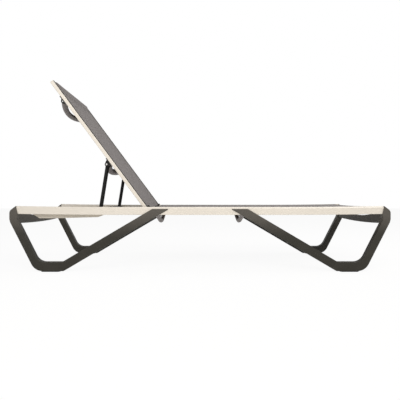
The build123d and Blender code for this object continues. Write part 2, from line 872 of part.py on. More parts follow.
def back_sling():
    """The taut back cloth with a hem that hangs into each back rail's slot."""
    low = back_rebate_floor + sling_gap
    depth = (low, low + sling_thickness)
    edge_y = back_channel_y + hem_thickness / 2
    strip_y = back_rail_inner - shoe_cheek - fit_gap
    held = (shoe_cheek_end + fit_gap, back_length - back_cap_length)
    with BuildPart() as cloth:
        back_body(-strip_y, (back_sling_start, held[0]), depth, 2 * strip_y)
        back_body(-edge_y, held, depth, 2 * edge_y)
        for y in (edge_y - hem_thickness, -edge_y):
            back_body(y, held, (back_rod_place() + back_rod_radius + sling_gap / 2, low), hem_thickness)
        stubs(
            back_plane(-top_plug_outer), [top_bar_place],
            top_bar_radius + sling_gap + sling_thickness, 2 * top_plug_outer,
        )
        stubs(
            back_plane(-back_rail_inner), [top_bar_place], top_bar_radius + sling_gap,
            2 * back_rail_inner, Mode.SUBTRACT,
        )
    return cloth.part


def back_rod_place():
    """How far forward of the hinge the hem rod of the back sling lies."""
    return back_channel_top - back_rod_radius - fit_gap


def back_rod():
    """The rod in the back sling's hem, inside the back rail's channel."""
    start = shoe_cheek_end + fit_gap
    plane = Plane(
        origin=hinge + up_back * start + off_back * back_rod_place() + Vector(0, back_channel_y, 0),
        x_dir=(0, 1, 0), z_dir=up_back,
    )
    with BuildPart() as rod:
        with BuildSketch(plane):
            Circle(back_rod_radius)
        extrude(amount=back_length - back_cap_length - start)
    return rod.part


def top_bar():
    """The tube in the sleeve at the top of the back sling, which spreads the back rails."""
    with BuildPart() as bar:
        stubs(back_plane(-top_bar_half), [top_bar_place], top_bar_radius, 2 * top_bar_half)
        stubs(
            back_plane(-top_bar_half), [top_bar_place], top_bar_radius - top_bar_wall,
            2 * top_bar_half, Mode.SUBTRACT,
        )
    return bar.part


def top_plug():
    """A plug in the end of the top tube, with a peg that sits in the back rail's inner wall."""
    with BuildPart() as plug:
        stubs(
            back_plane(top_bar_half), [top_bar_place], top_bar_radius - top_bar_wall - bore_gap,
            -top_plug_length,
        )
        stubs(back_plane(top_bar_half), [top_bar_place], top_bar_radius, top_plug_flange)
        stubs(
            back_plane(top_plug_outer), [top_bar_place], top_peg_radius, top_peg_length + fit_gap,
        )
    return plug.part


def welt():
    """A dark cover strip along the slot, on the front of the back rail."""
    start_y = back_rail_inner + back_channel_set_in + fit_gap
    ends = (shoe_cheek_end, back_length - back_cap_length)
    with BuildPart() as strip:
        back_body(start_y, ends, (back_front, back_front + welt_height), welt_width)
        fillet(
            strip.edges().filter_by(lambda e: e.length > back_length / 2).sort_by(
                lambda e: (e.center() - hinge).dot(off_back)
            )[-2:],
            radius=welt_width / 4,
        )
    return strip.part


def back_crossbar(station, pin_depth, bow_depths, section, half_span, pin_length):
    """A bar that bows rearward between two brackets, with a round pin at each end."""
    width, thickness, edge = section
    end = back_front - bow_depths[0]
    deep = back_front - bow_depths[1]
    pin = back_front - pin_depth
    bow_radius = (half_span**2 + (end - deep) ** 2) / (2 * (end - deep))
    reach = half_span + thickness / 2
    far = deep + bow_radius - math.sqrt(bow_radius**2 - reach**2)
    with BuildPart() as bar:
        with BuildLine(bow_plane(station)) as bow:
            ThreePointArc((-reach, far), (0, deep), (reach, far))
        with BuildSketch(Plane(origin=bow.line @ 0, x_dir=up_back, z_dir=bow.line % 0)):
            RectangleRounded(width, thickness, edge)
        sweep(path=bow.line)
        for sense in (-1, 1):
            with BuildSketch(back_plane(sense * half_span)):
                with Locations((station, end)):
                    Rectangle(width * 2, thickness * 4)
            extrude(amount=sense * thickness * 2, mode=Mode.SUBTRACT)
            stubs(
                back_plane(sense * (half_span - bar_pin_radius)), [(station, pin)], bar_pin_radius,
                sense * (pin_length + bar_pin_radius),
            )
            stubs(
                back_plane(sense * (half_span + pin_length)), [(station, pin)],
                pivot_screw_radius + bore_gap, -sense * pivot_screw_length, Mode.SUBTRACT,
            )
    return bar.part


def bracket(station, depth, length):
    """A dark moulded ear on the rear of the back rail that holds a crossbar's pin."""
    end = back_front - depth
    with BuildPart() as ear:
        with BuildSketch(back_plane(ear_inner)):
            with Locations((station, end)):
                Circle(bracket_nose_radius)
            with Locations((station - length / 2, back_rear - bracket_base)):
                Rectangle(length, bracket_base, align=(Align.MIN, Align.MIN))
            make_hull()
        extrude(amount=bracket_ear)
        back_body(
            ear_inner, (station - length / 2, station + length / 2),
            (back_rear - bracket_base, back_rear), back_rail_outer - ear_inner,
        )
        stubs(
            back_plane(ear_inner - overrun), [(station, end)], bar_pin_radius + bore_gap,
            bar_pin_length + overrun - pivot_head_height, Mode.SUBTRACT,
        )
        stubs(
            back_plane(ear_inner), [(station, end)], pivot_screw_radius + bore_gap,
            bracket_ear + overrun, Mode.SUBTRACT,
        )
        stubs(
            bracket_screw_plane(back_rear + overrun), bracket_screw_places(station, length),
            small_screw_radius + bore_gap, bracket_base + 2 * overrun, Mode.SUBTRACT,
        )
    return ear.part


def prop_arm():
    """One arm of the prop: an eye on the crossbar's pin and a tube down to the foot bar."""
    middle = (eye_inner + eye_outer) / 2
    pivot = Vector(prop_pivot.X, middle, prop_pivot.Z)
    down = Vector(math.cos(prop_turn), 0, math.sin(prop_turn))
    foot = pivot + down * prop_length
    with BuildPart() as arm:
        with BuildSketch(Plane(origin=pivot, x_dir=(0, 1, 0), z_dir=down)):
            Circle(prop_tube_radius)
        extrude(amount=prop_length)
        with BuildSketch(Plane(origin=foot, x_dir=(0, 1, 0), z_dir=down)):
            Circle(prop_tube_radius)
        extrude(amount=prop_cope)
        with BuildSketch(Plane(origin=foot + down * prop_cope, x_dir=(0, 1, 0), z_dir=-down)):
            Circle(prop_tube_radius - prop_tube_wall)
        extrude(amount=prop_length - prop_eye_radius, mode=Mode.SUBTRACT)
        stubs(side_plane(eye_outer), [(pivot.X, pivot.Z)], prop_eye_radius, eye_outer - eye_inner)
        stubs(
            side_plane(eye_outer + overrun), [(pivot.X, pivot.Z)], bar_pin_radius + bore_gap,
            eye_outer - eye_inner + 2 * overrun, Mode.SUBTRACT,
        )
        stubs(
            side_plane(eye_outer + overrun), [(foot.X, foot.Z)], foot_bar_radius + bore_gap,
            eye_outer - eye_inner + 2 * overrun, Mode.SUBTRACT,
        )
    return arm.part


def foot_bar():
    """The tube across the foot of the prop."""
    half = rail_inner - rack_width - overrun
    spot = [(foot_rest.X, foot_rest.Y)]
    with BuildPart() as bar:
        stubs(side_plane(half), spot, foot_bar_radius, 2 * half)
        stubs(side_plane(half), spot, foot_bar_bore, 2 * half, Mode.SUBTRACT)
    return bar.part


def foot_pin():
    """A plug in the end of the foot bar with a thin pin for the roller."""
    half = rail_inner - rack_width - overrun
    spot = [(foot_rest.X, foot_rest.Y)]
    with BuildPart() as pin:
        stubs(side_plane(half), spot, foot_bar_bore, foot_plug_length)
        stubs(side_plane(half + roller_length + fit_gap), spot, foot_pin_radius, roller_length + fit_gap)
    return pin.part


def foot_roller():
    """A sleeve on the foot pin that runs along the rack."""
    half = rail_inner - rack_width - overrun
    spot = [(foot_rest.X, foot_rest.Y)]
    with BuildPart() as roller:
        end = side_plane(half + roller_length + fit_gap)
        stubs(end, spot, roller_radius, roller_length)
        stubs(end, spot, foot_pin_radius + bore_gap, roller_length, Mode.SUBTRACT)
    return roller.part


def leg_screws():
    """Screws from inside each side rail into the leg's spigot and into its lap."""
    with BuildPart() as screws:
        for place, length in ((leg_screw_place, leg_screw_length), (lap_screw_place, lap_screw_length)):
            stubs(side_plane(rail_inner + length - fit_gap), [place], screw_radius, length - fit_gap)
            stubs(side_plane(rail_inner), [place], screw_head_radius, screw_head_height)
        mirror(about=Plane.YZ)
        mirror(about=Plane.XZ)
    return screws.part


def crossbar_screws():
    """Screws through the flanges of both end crossbars into the legs."""
    with BuildPart() as screws:
        face = rail_inner - flange_thickness
        reach = flange_screw_length - fit_gap
        stubs(side_plane(face + reach), flange_screw_places, screw_radius, reach)
        stubs(side_plane(face), flange_screw_places, screw_head_radius, screw_head_height)
        mirror(about=Plane.YZ)
        mirror(about=Plane.XZ)
    return screws.part


def pad_screws():
    """Screws through the pads of both seat crossbars into the side rails."""
    face = rail_inner - pad_thickness
    with BuildPart() as screws:
        stubs(side_plane(face + pad_screw_length), pad_screw_places(), small_screw_radius, pad_screw_length)
        stubs(side_plane(face), pad_screw_places(), rack_screw_head_radius, rack_screw_head_height)
        mirror(about=Plane.YZ)
        mirror(about=Plane.XZ)
    return screws.part


def rack_screws():
    """Flush screws through both racks into the side rails."""
    face = rail_inner - rack_plate
    with BuildPart() as screws:
        places = rack_screw_places()
        stubs(side_plane(face + rack_screw_length), places, small_screw_radius, rack_screw_length)
        stubs(
            side_plane(face + rack_screw_head_height), places, rack_screw_head_radius,
            rack_screw_head_height,
        )
        mirror(about=Plane.XZ)
    return screws.part


def bracket_screws():
    """Screws through the bases of the four brackets into the back rails."""
    with BuildPart() as screws:
        for station, length in bracket_places:
            places = bracket_screw_places(station, length)
            face = back_rear - bracket_base
            stubs(bracket_screw_plane(face), places, small_screw_radius, -bracket_screw_length)
            stubs(bracket_screw_plane(face), places, rack_screw_head_radius, rack_screw_head_height)
        mirror(about=Plane.XZ)
    return screws.part


def pivot_screws():
    """The bright screws in the ends of both back crossbars, outside the brackets."""
    with BuildPart() as screws:
        for station, depth in ((lower_bar_station, lower_bar_depth), (upper_bar_station, upper_bar_depth)):
            spot = [(station, back_front - depth)]
            stubs(back_plane(ear_outer), spot, pivot_head_radius, pivot_head_height)
            stubs(back_plane(ear_outer), spot, pivot_screw_radius, fit_gap - pivot_screw_length)
        mirror(about=Plane.XZ)
    return screws.part


os.makedirs("parts", exist_ok=True)

save_pair("side_rail", side_rail())

head_leg = leg()
save_pair("leg_head", head_leg)
save_pair("leg_foot", mirrored(head_leg, Plane.YZ))

head_glide = glide()
save_pair("glide_head", head_glide)
save_pair("glide_foot", mirrored(head_glide, Plane.YZ))

head_crossbar = end_crossbar()
save("head_crossbar", head_crossbar)
save("foot_crossbar", mirrored(head_crossbar, Plane.YZ))

front_seat_crossbar = seat_crossbar()
save("seat_crossbar_head", front_seat_crossbar)
save("seat_crossbar_foot", mirrored(front_seat_crossbar, Plane.YZ))

save_pair("rack", rack())
save("seat_sling", seat_sling())
save_pair("seat_sling_rod", seat_rod())
save_pair("hinge_boss", hinge_boss())
save_pair("hinge_bolt", hinge_bolt())
save("leg_screws", leg_screws())
save("crossbar_screws", crossbar_screws())
save("seat_crossbar_screws", pad_screws())
save("rack_screws", rack_screws())

save_pair("back_rail", back_rail())
save_pair("back_rail_cap", back_cap())
save_pair("hinge_shoe", hinge_shoe())
save("back_sling", back_sling())
save_pair("back_sling_rod", back_rod())
save_pair("back_welt", welt())
save("back_top_bar", top_bar())
save_pair("back_top_bar_plug", top_plug())
seated_pin = bar_pin_length - pivot_head_height
through_pin = ear_inner - lower_bar_half + seated_pin
lower_crossbar = back_crossbar(
    lower_bar_station, lower_bar_depth, lower_bow_depths, lower_bar_section, lower_bar_half, through_pin
)
upper_crossbar = back_crossbar(
    upper_bar_station, upper_bar_depth, upper_bow_depths, upper_bar_section, upper_bar_half, seated_pin
)
save("lower_crossbar", lower_crossbar)
save("upper_crossbar", upper_crossbar)
save_pair("lower_bracket", bracket(lower_bar_station, lower_bar_depth, bracket_length))
save_pair("upper_bracket", bracket(upper_bar_station, upper_bar_depth, upper_bracket_length))
save("bracket_screws", bracket_screws())
save("pivot_screws", pivot_screws())

save_pair("prop_arm", prop_arm())
save("prop_foot_bar", foot_bar())
save_pair("prop_foot_pin", foot_pin())
save_pair("prop_foot_roller", foot_roller())

print("hinge", hinge, "prop pivot", prop_pivot)
print("prop ratio", prop_ratio, "foot at rest", foot_rest, "foot when flat", foot_flat)
print("lowest foot", min(foot_at(step / 100).Y for step in range(101)))
print("arm tip", arm_tip, "seat crossbar x", seat_bar_x)
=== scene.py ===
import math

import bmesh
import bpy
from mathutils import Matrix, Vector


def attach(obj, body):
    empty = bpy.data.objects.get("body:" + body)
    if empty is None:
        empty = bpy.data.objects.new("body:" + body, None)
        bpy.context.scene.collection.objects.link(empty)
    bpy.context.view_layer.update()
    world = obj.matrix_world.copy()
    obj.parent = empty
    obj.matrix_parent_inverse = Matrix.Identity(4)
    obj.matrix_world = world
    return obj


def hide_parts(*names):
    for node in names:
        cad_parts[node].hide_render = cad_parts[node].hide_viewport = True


bl_info = {
    "name": "Sun Lounger",
    "version": (1, 0, 0),
    "blender": (4, 5, 0),
    "location": "View3D > Sidebar > Lounger",
    "description": "Dresses a stacking sun lounger with a reclining sling back",
    "category": "Add Mesh",
}

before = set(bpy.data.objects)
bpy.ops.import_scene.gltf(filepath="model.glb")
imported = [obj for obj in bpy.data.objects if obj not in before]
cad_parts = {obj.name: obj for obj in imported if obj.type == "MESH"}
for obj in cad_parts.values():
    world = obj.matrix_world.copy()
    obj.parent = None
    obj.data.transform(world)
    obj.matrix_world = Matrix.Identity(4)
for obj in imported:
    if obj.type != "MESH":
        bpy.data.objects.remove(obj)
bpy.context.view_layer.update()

# The side rails and the seat's cloth, in metres, as in the part's source. A slot is the
# mouth of the channel that holds a rod in the cloth's edge.
RAIL_INNER = 0.314
RAIL_STRAIGHT_HALF = 0.450
RAIL_RISE_RADIUS = 23.7682
SLOT_Y = 0.3235
SEAT_HEAD_X = -0.262
SEAT_FOOT_X = 0.9075
SEAT_CLOTH_Z = 0.3292
SEAT_ROD_Z = 0.3206
SEAT_ROD_RADIUS = 0.003
HEM_GAP = 0.0005

# The raised back. A station is a distance up the back from the hinge, and a front is a
# distance forward of the hinge's plane.
HINGE = Vector((-0.2905, 0, 0.303))
BACK_LEAN = math.radians(53.4)
UP_BACK = Vector((-math.cos(BACK_LEAN), 0, math.sin(BACK_LEAN)))
OFF_BACK = Vector((math.sin(BACK_LEAN), 0, math.cos(BACK_LEAN)))
BACK_SLOT_Y = 0.2915
BACK_STRIP_Y = 0.2635
BACK_START = 0.012
BACK_HELD_START = 0.0203
BACK_CLOTH_FRONT = 0.0262
BACK_ROD_FRONT = 0.0196
BACK_ROD_RADIUS = 0.0025

# The tube at the top of the back, and the sleeve of cloth round it.
TOP_BAR_STATION = 0.818
TOP_BAR_FRONT = 0.0205
TOP_BAR_RADIUS = 0.014
TOP_BAR_HALF = 0.2695
TOP_SEAM_BEHIND = 0.036
TOP_LEAVE_DEGREES = -122.0
TOP_HEM = 0.012

# The legs and the prop.
LEG_MIDDLE_Y = 0.332
PIVOT = Vector((-0.493322, 0, 0.553458))
PROP_FOOT = Vector((-0.530615, 0, 0.318))
PROP_ARM_Y = 0.2430
PROP_TUBE_RADIUS = 0.0102
FOOT_BAR_RADIUS = 0.007


def linear(code):
    """A hex sRGB colour as linear red, green and blue, with full alpha."""
    values = [int(code[place:place + 2], 16) / 255 for place in (0, 2, 4)]
    return tuple(
        value / 12.92 if value <= 0.04045 else ((value + 0.055) / 1.055) ** 2.4 for value in values
    ) + (1.0,)


def colour_property(name, description, code):
    """A colour swatch that starts from a hex sRGB colour."""
    return bpy.props.FloatVectorProperty(
        name=name, description=description, subtype="COLOR", size=4, min=0, max=1,
        default=linear(code),
    )


def length_property(name, description, default):
    """A length in metres."""
    return bpy.props.FloatProperty(
        name=name, description=description, subtype="DISTANCE", unit="LENGTH", min=0, precision=5,
        default=default,
    )


class LoungerColours(bpy.types.PropertyGroup):
    """The colours of the lounger's finishes."""

    ivory: colour_property("Ivory", "Powder coat of the side rails and back rails", "E9E2D6")
    ivory_plastic: colour_property("Ivory plastic", "Moulded racks and end caps", "E2DACC")
    # One taupe in two swatches: the low one is the legs with painted shade near the ground, the high
    # one the legs with painted light higher up.
    taupe_painted_shade: colour_property("Taupe, low", "Moulded legs near the ground", "35332D")
    taupe_painted_light: colour_property("Taupe, high", "Moulded legs where the sun bleaches them", "5A5650")
    bar: colour_property("Crossbars", "Powder coat of the bowed crossbars", "7B716D")
    dark: colour_property("Dark plastic", "Moulded brackets, shoes, bosses and welts", "262523")
    black: colour_property("Prop", "Powder coat of the prop", "0F0F0E")
    warp: colour_property("Warp", "Threads along the sling", "7E7775")
    weft: colour_property("Weft", "Threads across the sling", "6A6462")
    thread: colour_property("Sewing thread", "Stitches of the hems", "5C5654")
    steel: colour_property("Steel", "Stainless screws, bolts and pins", "C8C6C2")
    rubber: colour_property("Glides", "Glides under the feet", "2A2927")
    floor: colour_property("Floor", "Floor under the lounger", "F4F3F1")


class LoungerSizes(bpy.types.PropertyGroup):
    """The sizes of the lounger's cloth, sewing and small parts."""

    cloth: length_property("Cloth", "Thickness of the sling cloth", 0.0008)
    seat_sag: length_property("Seat sag", "How far the seat cloth hangs between the rails", 0.005)
    back_sag: length_property("Back sag", "How far the back cloth hangs between its rails", 0.004)
    hem: length_property("Hem", "Width of the hem that is turned under", 0.028)
    stitch: length_property("Stitch", "Length of one stitch", 0.0042)
    stitch_gap: length_property("Stitch gap", "From the end of a stitch to the next", 0.0013)
    stitch_width: length_property("Thread", "Thickness of the sewing thread", 0.0006)
    weave: length_property("Weave", "Distance between two threads as drawn", 0.0032)
    bead: length_property("Weld bead", "Thickness of the weld beads on the prop", 0.0022)


def colours():
    """The colours that the scene's swatches hold."""
    return bpy.context.scene.lounger_colours


def sizes():
    """The sizes that the scene's fields hold."""
    return bpy.context.scene.lounger_sizes


def add(tree, kind, inputs=None, **settings):
    """Adds a node with its settings. The inputs are values, or sockets to link to."""
    node = tree.nodes.new("ShaderNode" + kind)
    for name, value in settings.items():
        setattr(node, name, value)
    for name, value in (inputs or {}).items():
        if isinstance(value, bpy.types.NodeSocket):
            tree.links.new(value, node.inputs[name])
        else:
            node.inputs[name].default_value = value
    return node


def blank_material(name):
    """An empty material and its node tree."""
    material = bpy.data.materials.new(name)
    material.use_nodes = True
    material.node_tree.nodes.clear()
    return material, material.node_tree


def mixed(tree, share, first, second, mode="MIX"):
    """The colour socket of a mix between two colours."""
    node = add(tree, "Mix", data_type="RGBA", blend_type=mode)
    for number, value in ((0, share), (6, first), (7, second)):
        if isinstance(value, bpy.types.NodeSocket):
            tree.links.new(value, node.inputs[number])
        else:
            node.inputs[number].default_value = value
    return node.outputs[2]


def shade(colour, share):
    """A colour made darker or lighter by a share."""
    return tuple(min(channel * share, 1) for channel in colour[:3]) + (1.0,)


def powder_coat(name, colour, roughness, gloss=0.5):
    """Polyester powder coat, sprayed and baked on aluminium or steel."""
    # Baked powder flows into an even satin skin with a faint orange peel of about 1.5 mm,
    # drawn at 2.5 mm so that it shows.
    peel_mm = 2.5
    drift_mm = 260
    material, tree = blank_material(name)
    place = add(tree, "TexCoord").outputs["Object"]
    peel = add(tree, "TexNoise", {"Vector": place, "Scale": 1000 / peel_mm, "Detail": 1.5})
    drift = add(tree, "TexNoise", {"Vector": place, "Scale": 1000 / drift_mm, "Detail": 2})
    bump = add(
        tree, "Bump", {"Height": peel.outputs["Fac"], "Strength": 0.12, "Distance": 0.0002}
    )
    rough = add(
        tree, "MapRange",
        {"Value": drift.outputs["Fac"], "To Min": roughness - 0.05, "To Max": roughness + 0.07},
    )
    shown = mixed(tree, drift.outputs["Fac"], shade(colour, 0.955), shade(colour, 1.03))
    shader = add(
        tree, "BsdfPrincipled",
        {
            "Base Color": shown, "Roughness": rough.outputs[0], "IOR": 1.5,
            "Specular IOR Level": gloss, "Normal": bump.outputs[0],
        },
    )
    add(tree, "OutputMaterial", {"Surface": shader.outputs[0]})
    return material


def moulded(name, low, high, roughness, grain_mm, seam_y=None):
    """Filled polypropylene, nylon or soft rubber, injection moulded in an eroded tool."""
    # The eroded tool leaves a fine matt grain of about 0.6 mm, drawn coarser so that it
    # shows. What lies higher on the lounger is painted lighter, as painted light from above,
    # and what lies lower is painted darker, as painted shade; clouds a hand wide move where
    # the change falls.
    painted_light_from = 0.17
    painted_light_to = 0.305
    seam_half = 0.0004
    cloud_mm = 71.4
    material, tree = blank_material(name)
    place = add(tree, "TexCoord").outputs["Object"]
    apart = add(tree, "SeparateXYZ", {0: place})
    grain = add(tree, "TexNoise", {"Vector": place, "Scale": 1000 / grain_mm, "Detail": 3})
    cloud = add(tree, "TexNoise", {"Vector": place, "Scale": 1000 / cloud_mm, "Detail": 3})
    # Painted light and shade: between these heights the colour runs from the low end, painted shade,
    # to the high end, painted light.
    height = add(
        tree, "MapRange",
        {"Value": apart.outputs["Z"], "From Min": painted_light_from, "From Max": painted_light_to},
        interpolation_type="SMOOTHSTEP",
    )
    flow = add(tree, "Math", {0: cloud.outputs["Fac"], 1: 0.5}, operation="SUBTRACT")
    share = add(
        tree, "Math", {0: flow.outputs[0], 1: 0.5, 2: height.outputs[0]}, operation="MULTIPLY_ADD",
        use_clamp=True,
    )
    base = mixed(tree, share.outputs[0], low, high)
    speck = add(
        tree, "MapRange", {"Value": grain.outputs["Fac"], "To Min": 0.88, "To Max": 1.12}
    )
    speckled = mixed(tree, 1.0, base, speck.outputs[0], "MULTIPLY")
    relief = grain.outputs["Fac"]
    if seam_y:
        # The two halves of the mould meet in a fine raised line round the rim.
        side = add(tree, "Math", {0: apart.outputs["Y"]}, operation="ABSOLUTE")
        beside = add(
            tree, "Math", {0: side.outputs[0], 1: seam_y, 2: seam_half}, operation="COMPARE"
        )
        raised = add(
            tree, "Math", {0: beside.outputs[0], 1: 2.0, 2: relief}, operation="MULTIPLY_ADD"
        )
        relief = raised.outputs[0]
    bump = add(tree, "Bump", {"Height": relief, "Strength": 0.3, "Distance": 0.00015})
    shader = add(
        tree, "BsdfPrincipled",
        {
            "Base Color": speckled, "Roughness": roughness, "IOR": 1.49,
            "Specular IOR Level": 0.22, "Normal": bump.outputs[0],
        },
    )
    add(tree, "OutputMaterial", {"Surface": shader.outputs[0]})
    return material


def sling_cloth(name, turn):
    """Polyester mesh coated with PVC, plain woven and drawn taut."""
    # Round coated threads about 1.2 mm apart cross over and under. They are drawn wider
    # apart so that they show, and each has a soft plastic gloss. A wave texture repeats
    # every tau / 20 at a scale of 1, and here it repeats over two threads.
    pitch = sizes().weave
    band = math.tau / 20 / pitch / 2
    streak_mm = 2.38
    cloud_mm = 111
    material, tree = blank_material(name)
    place = add(tree, "TexCoord").outputs["Object"]
    flat = add(tree, "Mapping", {"Vector": place, "Rotation": (0, turn, 0)})
    apart = add(tree, "SeparateXYZ", {0: flat.outputs[0]})
    level = add(tree, "CombineXYZ", {0: apart.outputs["X"], 1: apart.outputs["Y"], 2: pitch / 4})
    along = add(
        tree, "TexWave", {"Vector": level.outputs[0], "Scale": band}, bands_direction="Y"
    )
    across = add(
        tree, "TexWave", {"Vector": level.outputs[0], "Scale": band}, bands_direction="X"
    )
    over = add(
        tree, "TexChecker",
        {
            "Vector": level.outputs[0], "Color1": (1, 1, 1, 1), "Color2": (0, 0, 0, 1),
            "Scale": 1 / pitch,
        },
    )
    streak = add(tree, "TexNoise", {"Vector": place, "Scale": 1000 / streak_mm, "Detail": 2})
    cloud = add(tree, "TexNoise", {"Vector": place, "Scale": 1000 / cloud_mm, "Detail": 3})
    height = add(
        tree, "Mix", {0: over.outputs["Fac"], 2: across.outputs["Fac"], 3: along.outputs["Fac"]},
        data_type="FLOAT",
    )
    threads = mixed(tree, over.outputs["Fac"], colours().weft, colours().warp)
    # Painted shade and highlight: where the weave lies low, between the threads, the colour is
    # darkened to half, and on the threads' crowns it is lightened a little.
    weave_painted_shade = add(
        tree, "MapRange",
        {"Value": height.outputs[0], "From Max": 0.55, "To Min": 0.5, "To Max": 1.06},
    )
    threads_painted_shade = mixed(tree, 1.0, threads, weave_painted_shade.outputs[0], "MULTIPLY")
    uneven = add(
        tree, "MapRange", {"Value": streak.outputs["Fac"], "To Min": 0.84, "To Max": 1.16}
    )
    varied = mixed(tree, 1.0, threads_painted_shade, uneven.outputs[0], "MULTIPLY")
    wide = add(tree, "MapRange", {"Value": cloud.outputs["Fac"], "To Min": 0.96, "To Max": 1.04})
    final = mixed(tree, 1.0, varied, wide.outputs[0], "MULTIPLY")
    bump = add(tree, "Bump", {"Height": height.outputs[0], "Strength": 0.55, "Distance": 0.0006})
    shader = add(
        tree, "BsdfPrincipled",
        {
            "Base Color": final, "Roughness": 0.62, "IOR": 1.5, "Specular IOR Level": 0.3,
            "Normal": bump.outputs[0],
        },
    )
    add(tree, "OutputMaterial", {"Surface": shader.outputs[0]})
    return material


def stainless(name, colour):
    """Stainless steel, turned and tumbled."""
    # Turning leaves fine marks, about 0.6 mm across, and tumbling dulls them to a soft
    # grey shine.
    marks_mm = 0.625
    material, tree = blank_material(name)
    place = add(tree, "TexCoord").outputs["Object"]
    marks = add(tree, "TexNoise", {"Vector": place, "Scale": 1000 / marks_mm, "Detail": 2})
    rough = add(tree, "MapRange", {"Value": marks.outputs["Fac"], "To Min": 0.24, "To Max": 0.42})
    bump = add(tree, "Bump", {"Height": marks.outputs["Fac"], "Strength": 0.08, "Distance": 0.0001})
    shader = add(
        tree, "BsdfPrincipled",
        {
            "Base Color": mixed(tree, marks.outputs["Fac"], shade(colour, 0.9), colour),
            "Metallic": 1.0, "Roughness": rough.outputs[0], "Normal": bump.outputs[0],
        },
    )
    add(tree, "OutputMaterial", {"Surface": shader.outputs[0]})
    return material


def spun_thread(name, colour):
    """Bonded polyester sewing thread, twisted from three plies."""
    # The twist shows as slanting ridges about 0.9 mm apart. A diagonal wave texture repeats
    # every tau / 10 along each of its three axes at a scale of 1.
    ridge_mm = 0.907
    ridge_scale = 1000 / ridge_mm * math.tau / 10 / math.sqrt(3)
    material, tree = blank_material(name)
    place = add(tree, "TexCoord").outputs["Object"]
    twist = add(
        tree, "TexWave", {"Vector": place, "Scale": ridge_scale, "Distortion": 1},
        bands_direction="DIAGONAL",
    )
    bump = add(tree, "Bump", {"Height": twist.outputs["Fac"], "Strength": 0.4, "Distance": 0.0001})
    # Painted shade: the grooves of the twist are painted down to three quarters of the thread's
    # colour.
    shader = add(
        tree, "BsdfPrincipled",
        {
            "Base Color": mixed(tree, twist.outputs["Fac"], shade(colour, 0.75), colour),
            "Roughness": 0.7, "IOR": 1.5, "Sheen Weight": 0.2, "Normal": bump.outputs[0],
        },
    )
    add(tree, "OutputMaterial", {"Surface": shader.outputs[0]})
    return material


FINISHES = {}


def finish_of(name):
    """The material for one finish, made when it is first asked for."""
    makers = {
        "satin_powder_coated_aluminium": lambda title: powder_coat(title, colours().ivory, 0.42),
        "taupe_powder_coated_aluminium": lambda title: powder_coat(title, colours().bar, 0.5),
        "black_powder_coated_steel": lambda title: powder_coat(title, colours().black, 0.5, 0.18),
        # The moulded finishes pass a low colour, which is painted shade near the ground, and a high
        # colour, which is painted light higher up.
        "taupe_glass_filled_polypropylene": lambda title: moulded(
            title, colours().taupe_painted_shade, colours().taupe_painted_light, 0.52, 1.6, LEG_MIDDLE_Y
        ),
        "taupe_polypropylene_crossbar": lambda title: moulded(
            title, colours().taupe_painted_shade, colours().taupe_painted_light, 0.52, 1.6
        ),
        "ivory_moulded_nylon": lambda title: moulded(
            title, shade(colours().ivory_plastic, 0.97), colours().ivory_plastic, 0.5, 2.0
        ),
        "dark_moulded_nylon": lambda title: moulded(
            title, shade(colours().dark, 0.9), colours().dark, 0.55, 1.4
        ),
        "thermoplastic_rubber": lambda title: moulded(
            title, shade(colours().rubber, 0.9), colours().rubber, 0.8, 1.2
        ),
        "pvc_coated_polyester_mesh_seat": lambda title: sling_cloth(title, 0),
        "pvc_coated_polyester_mesh_back": lambda title: sling_cloth(title, -BACK_LEAN),
        "bonded_polyester_thread": lambda title: spun_thread(title, colours().thread),
        "tumbled_stainless_steel": lambda title: stainless(title, colours().steel),
    }
    if name not in FINISHES:
        FINISHES[name] = makers[name](name)
    return FINISHES[name]


def dress(name, *nodes):
    """Gives one finish to CAD nodes."""
    for node in nodes:
        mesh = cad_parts[node].data
        mesh.materials.clear()
        mesh.materials.append(finish_of(name))


def both(name):
    """The names of a piece on the left and on the right."""
    return name + "_left", name + "_right"


def piece_from(name, places, faces, finish):
    """A smooth mesh object with one finish."""
    mesh = bpy.data.meshes.new(name)
    mesh.from_pydata([tuple(place) for place in places], [], faces)
    mesh.validate()
    piece = bpy.data.objects.new(name, mesh)
    bpy.context.collection.objects.link(piece)
    mesh.materials.append(finish_of(finish))
    mesh.polygons.foreach_set("use_smooth", [True] * len(mesh.polygons))
    return piece


def grid_piece(name, rows, columns, place_at, finish, wanted=None):
    """A sheet of quads over rows and columns, without the corners that aren't wanted."""
    numbers = {}
    places = []
    for i, row in enumerate(rows):
        for j, column in enumerate(columns):
            if wanted is None or wanted(row, column):
                numbers[i, j] = len(places)
                places.append(place_at(row, column))
    faces = []
    for i in range(len(rows) - 1):
        for j in range(len(columns) - 1):
            corners = [(i, j), (i + 1, j), (i + 1, j + 1), (i, j + 1)]
            if all(corner in numbers for corner in corners):
                faces.append([numbers[corner] for corner in corners])
    return piece_from(name, places, faces, finish)


def thicken(piece, thickness):
    """Gives a sheet its thickness, half on each side."""
    solid = piece.modifiers.new("thickness", "SOLIDIFY")
    solid.thickness = thickness
    solid.offset = 0
    return piece


def tube_faces(faces, base, rings, sides):
    """Adds the faces of a tube of rings, closed at both ends, to a list of faces."""
    for ring in range(rings - 1):
        for side in range(sides):
            after = (side + 1) % sides
            faces.append((
                base + ring * sides + side, base + ring * sides + after,
                base + (ring + 1) * sides + after, base + (ring + 1) * sides + side,
            ))
    last = base + (rings - 1) * sides
    faces.append(tuple(base + side for side in reversed(range(sides))))
    faces.append(tuple(last + side for side in range(sides)))


def steps(start, finish, count):
    """Evenly spaced values with both ends."""
    return [start + (finish - start) * number / count for number in range(count + 1)]


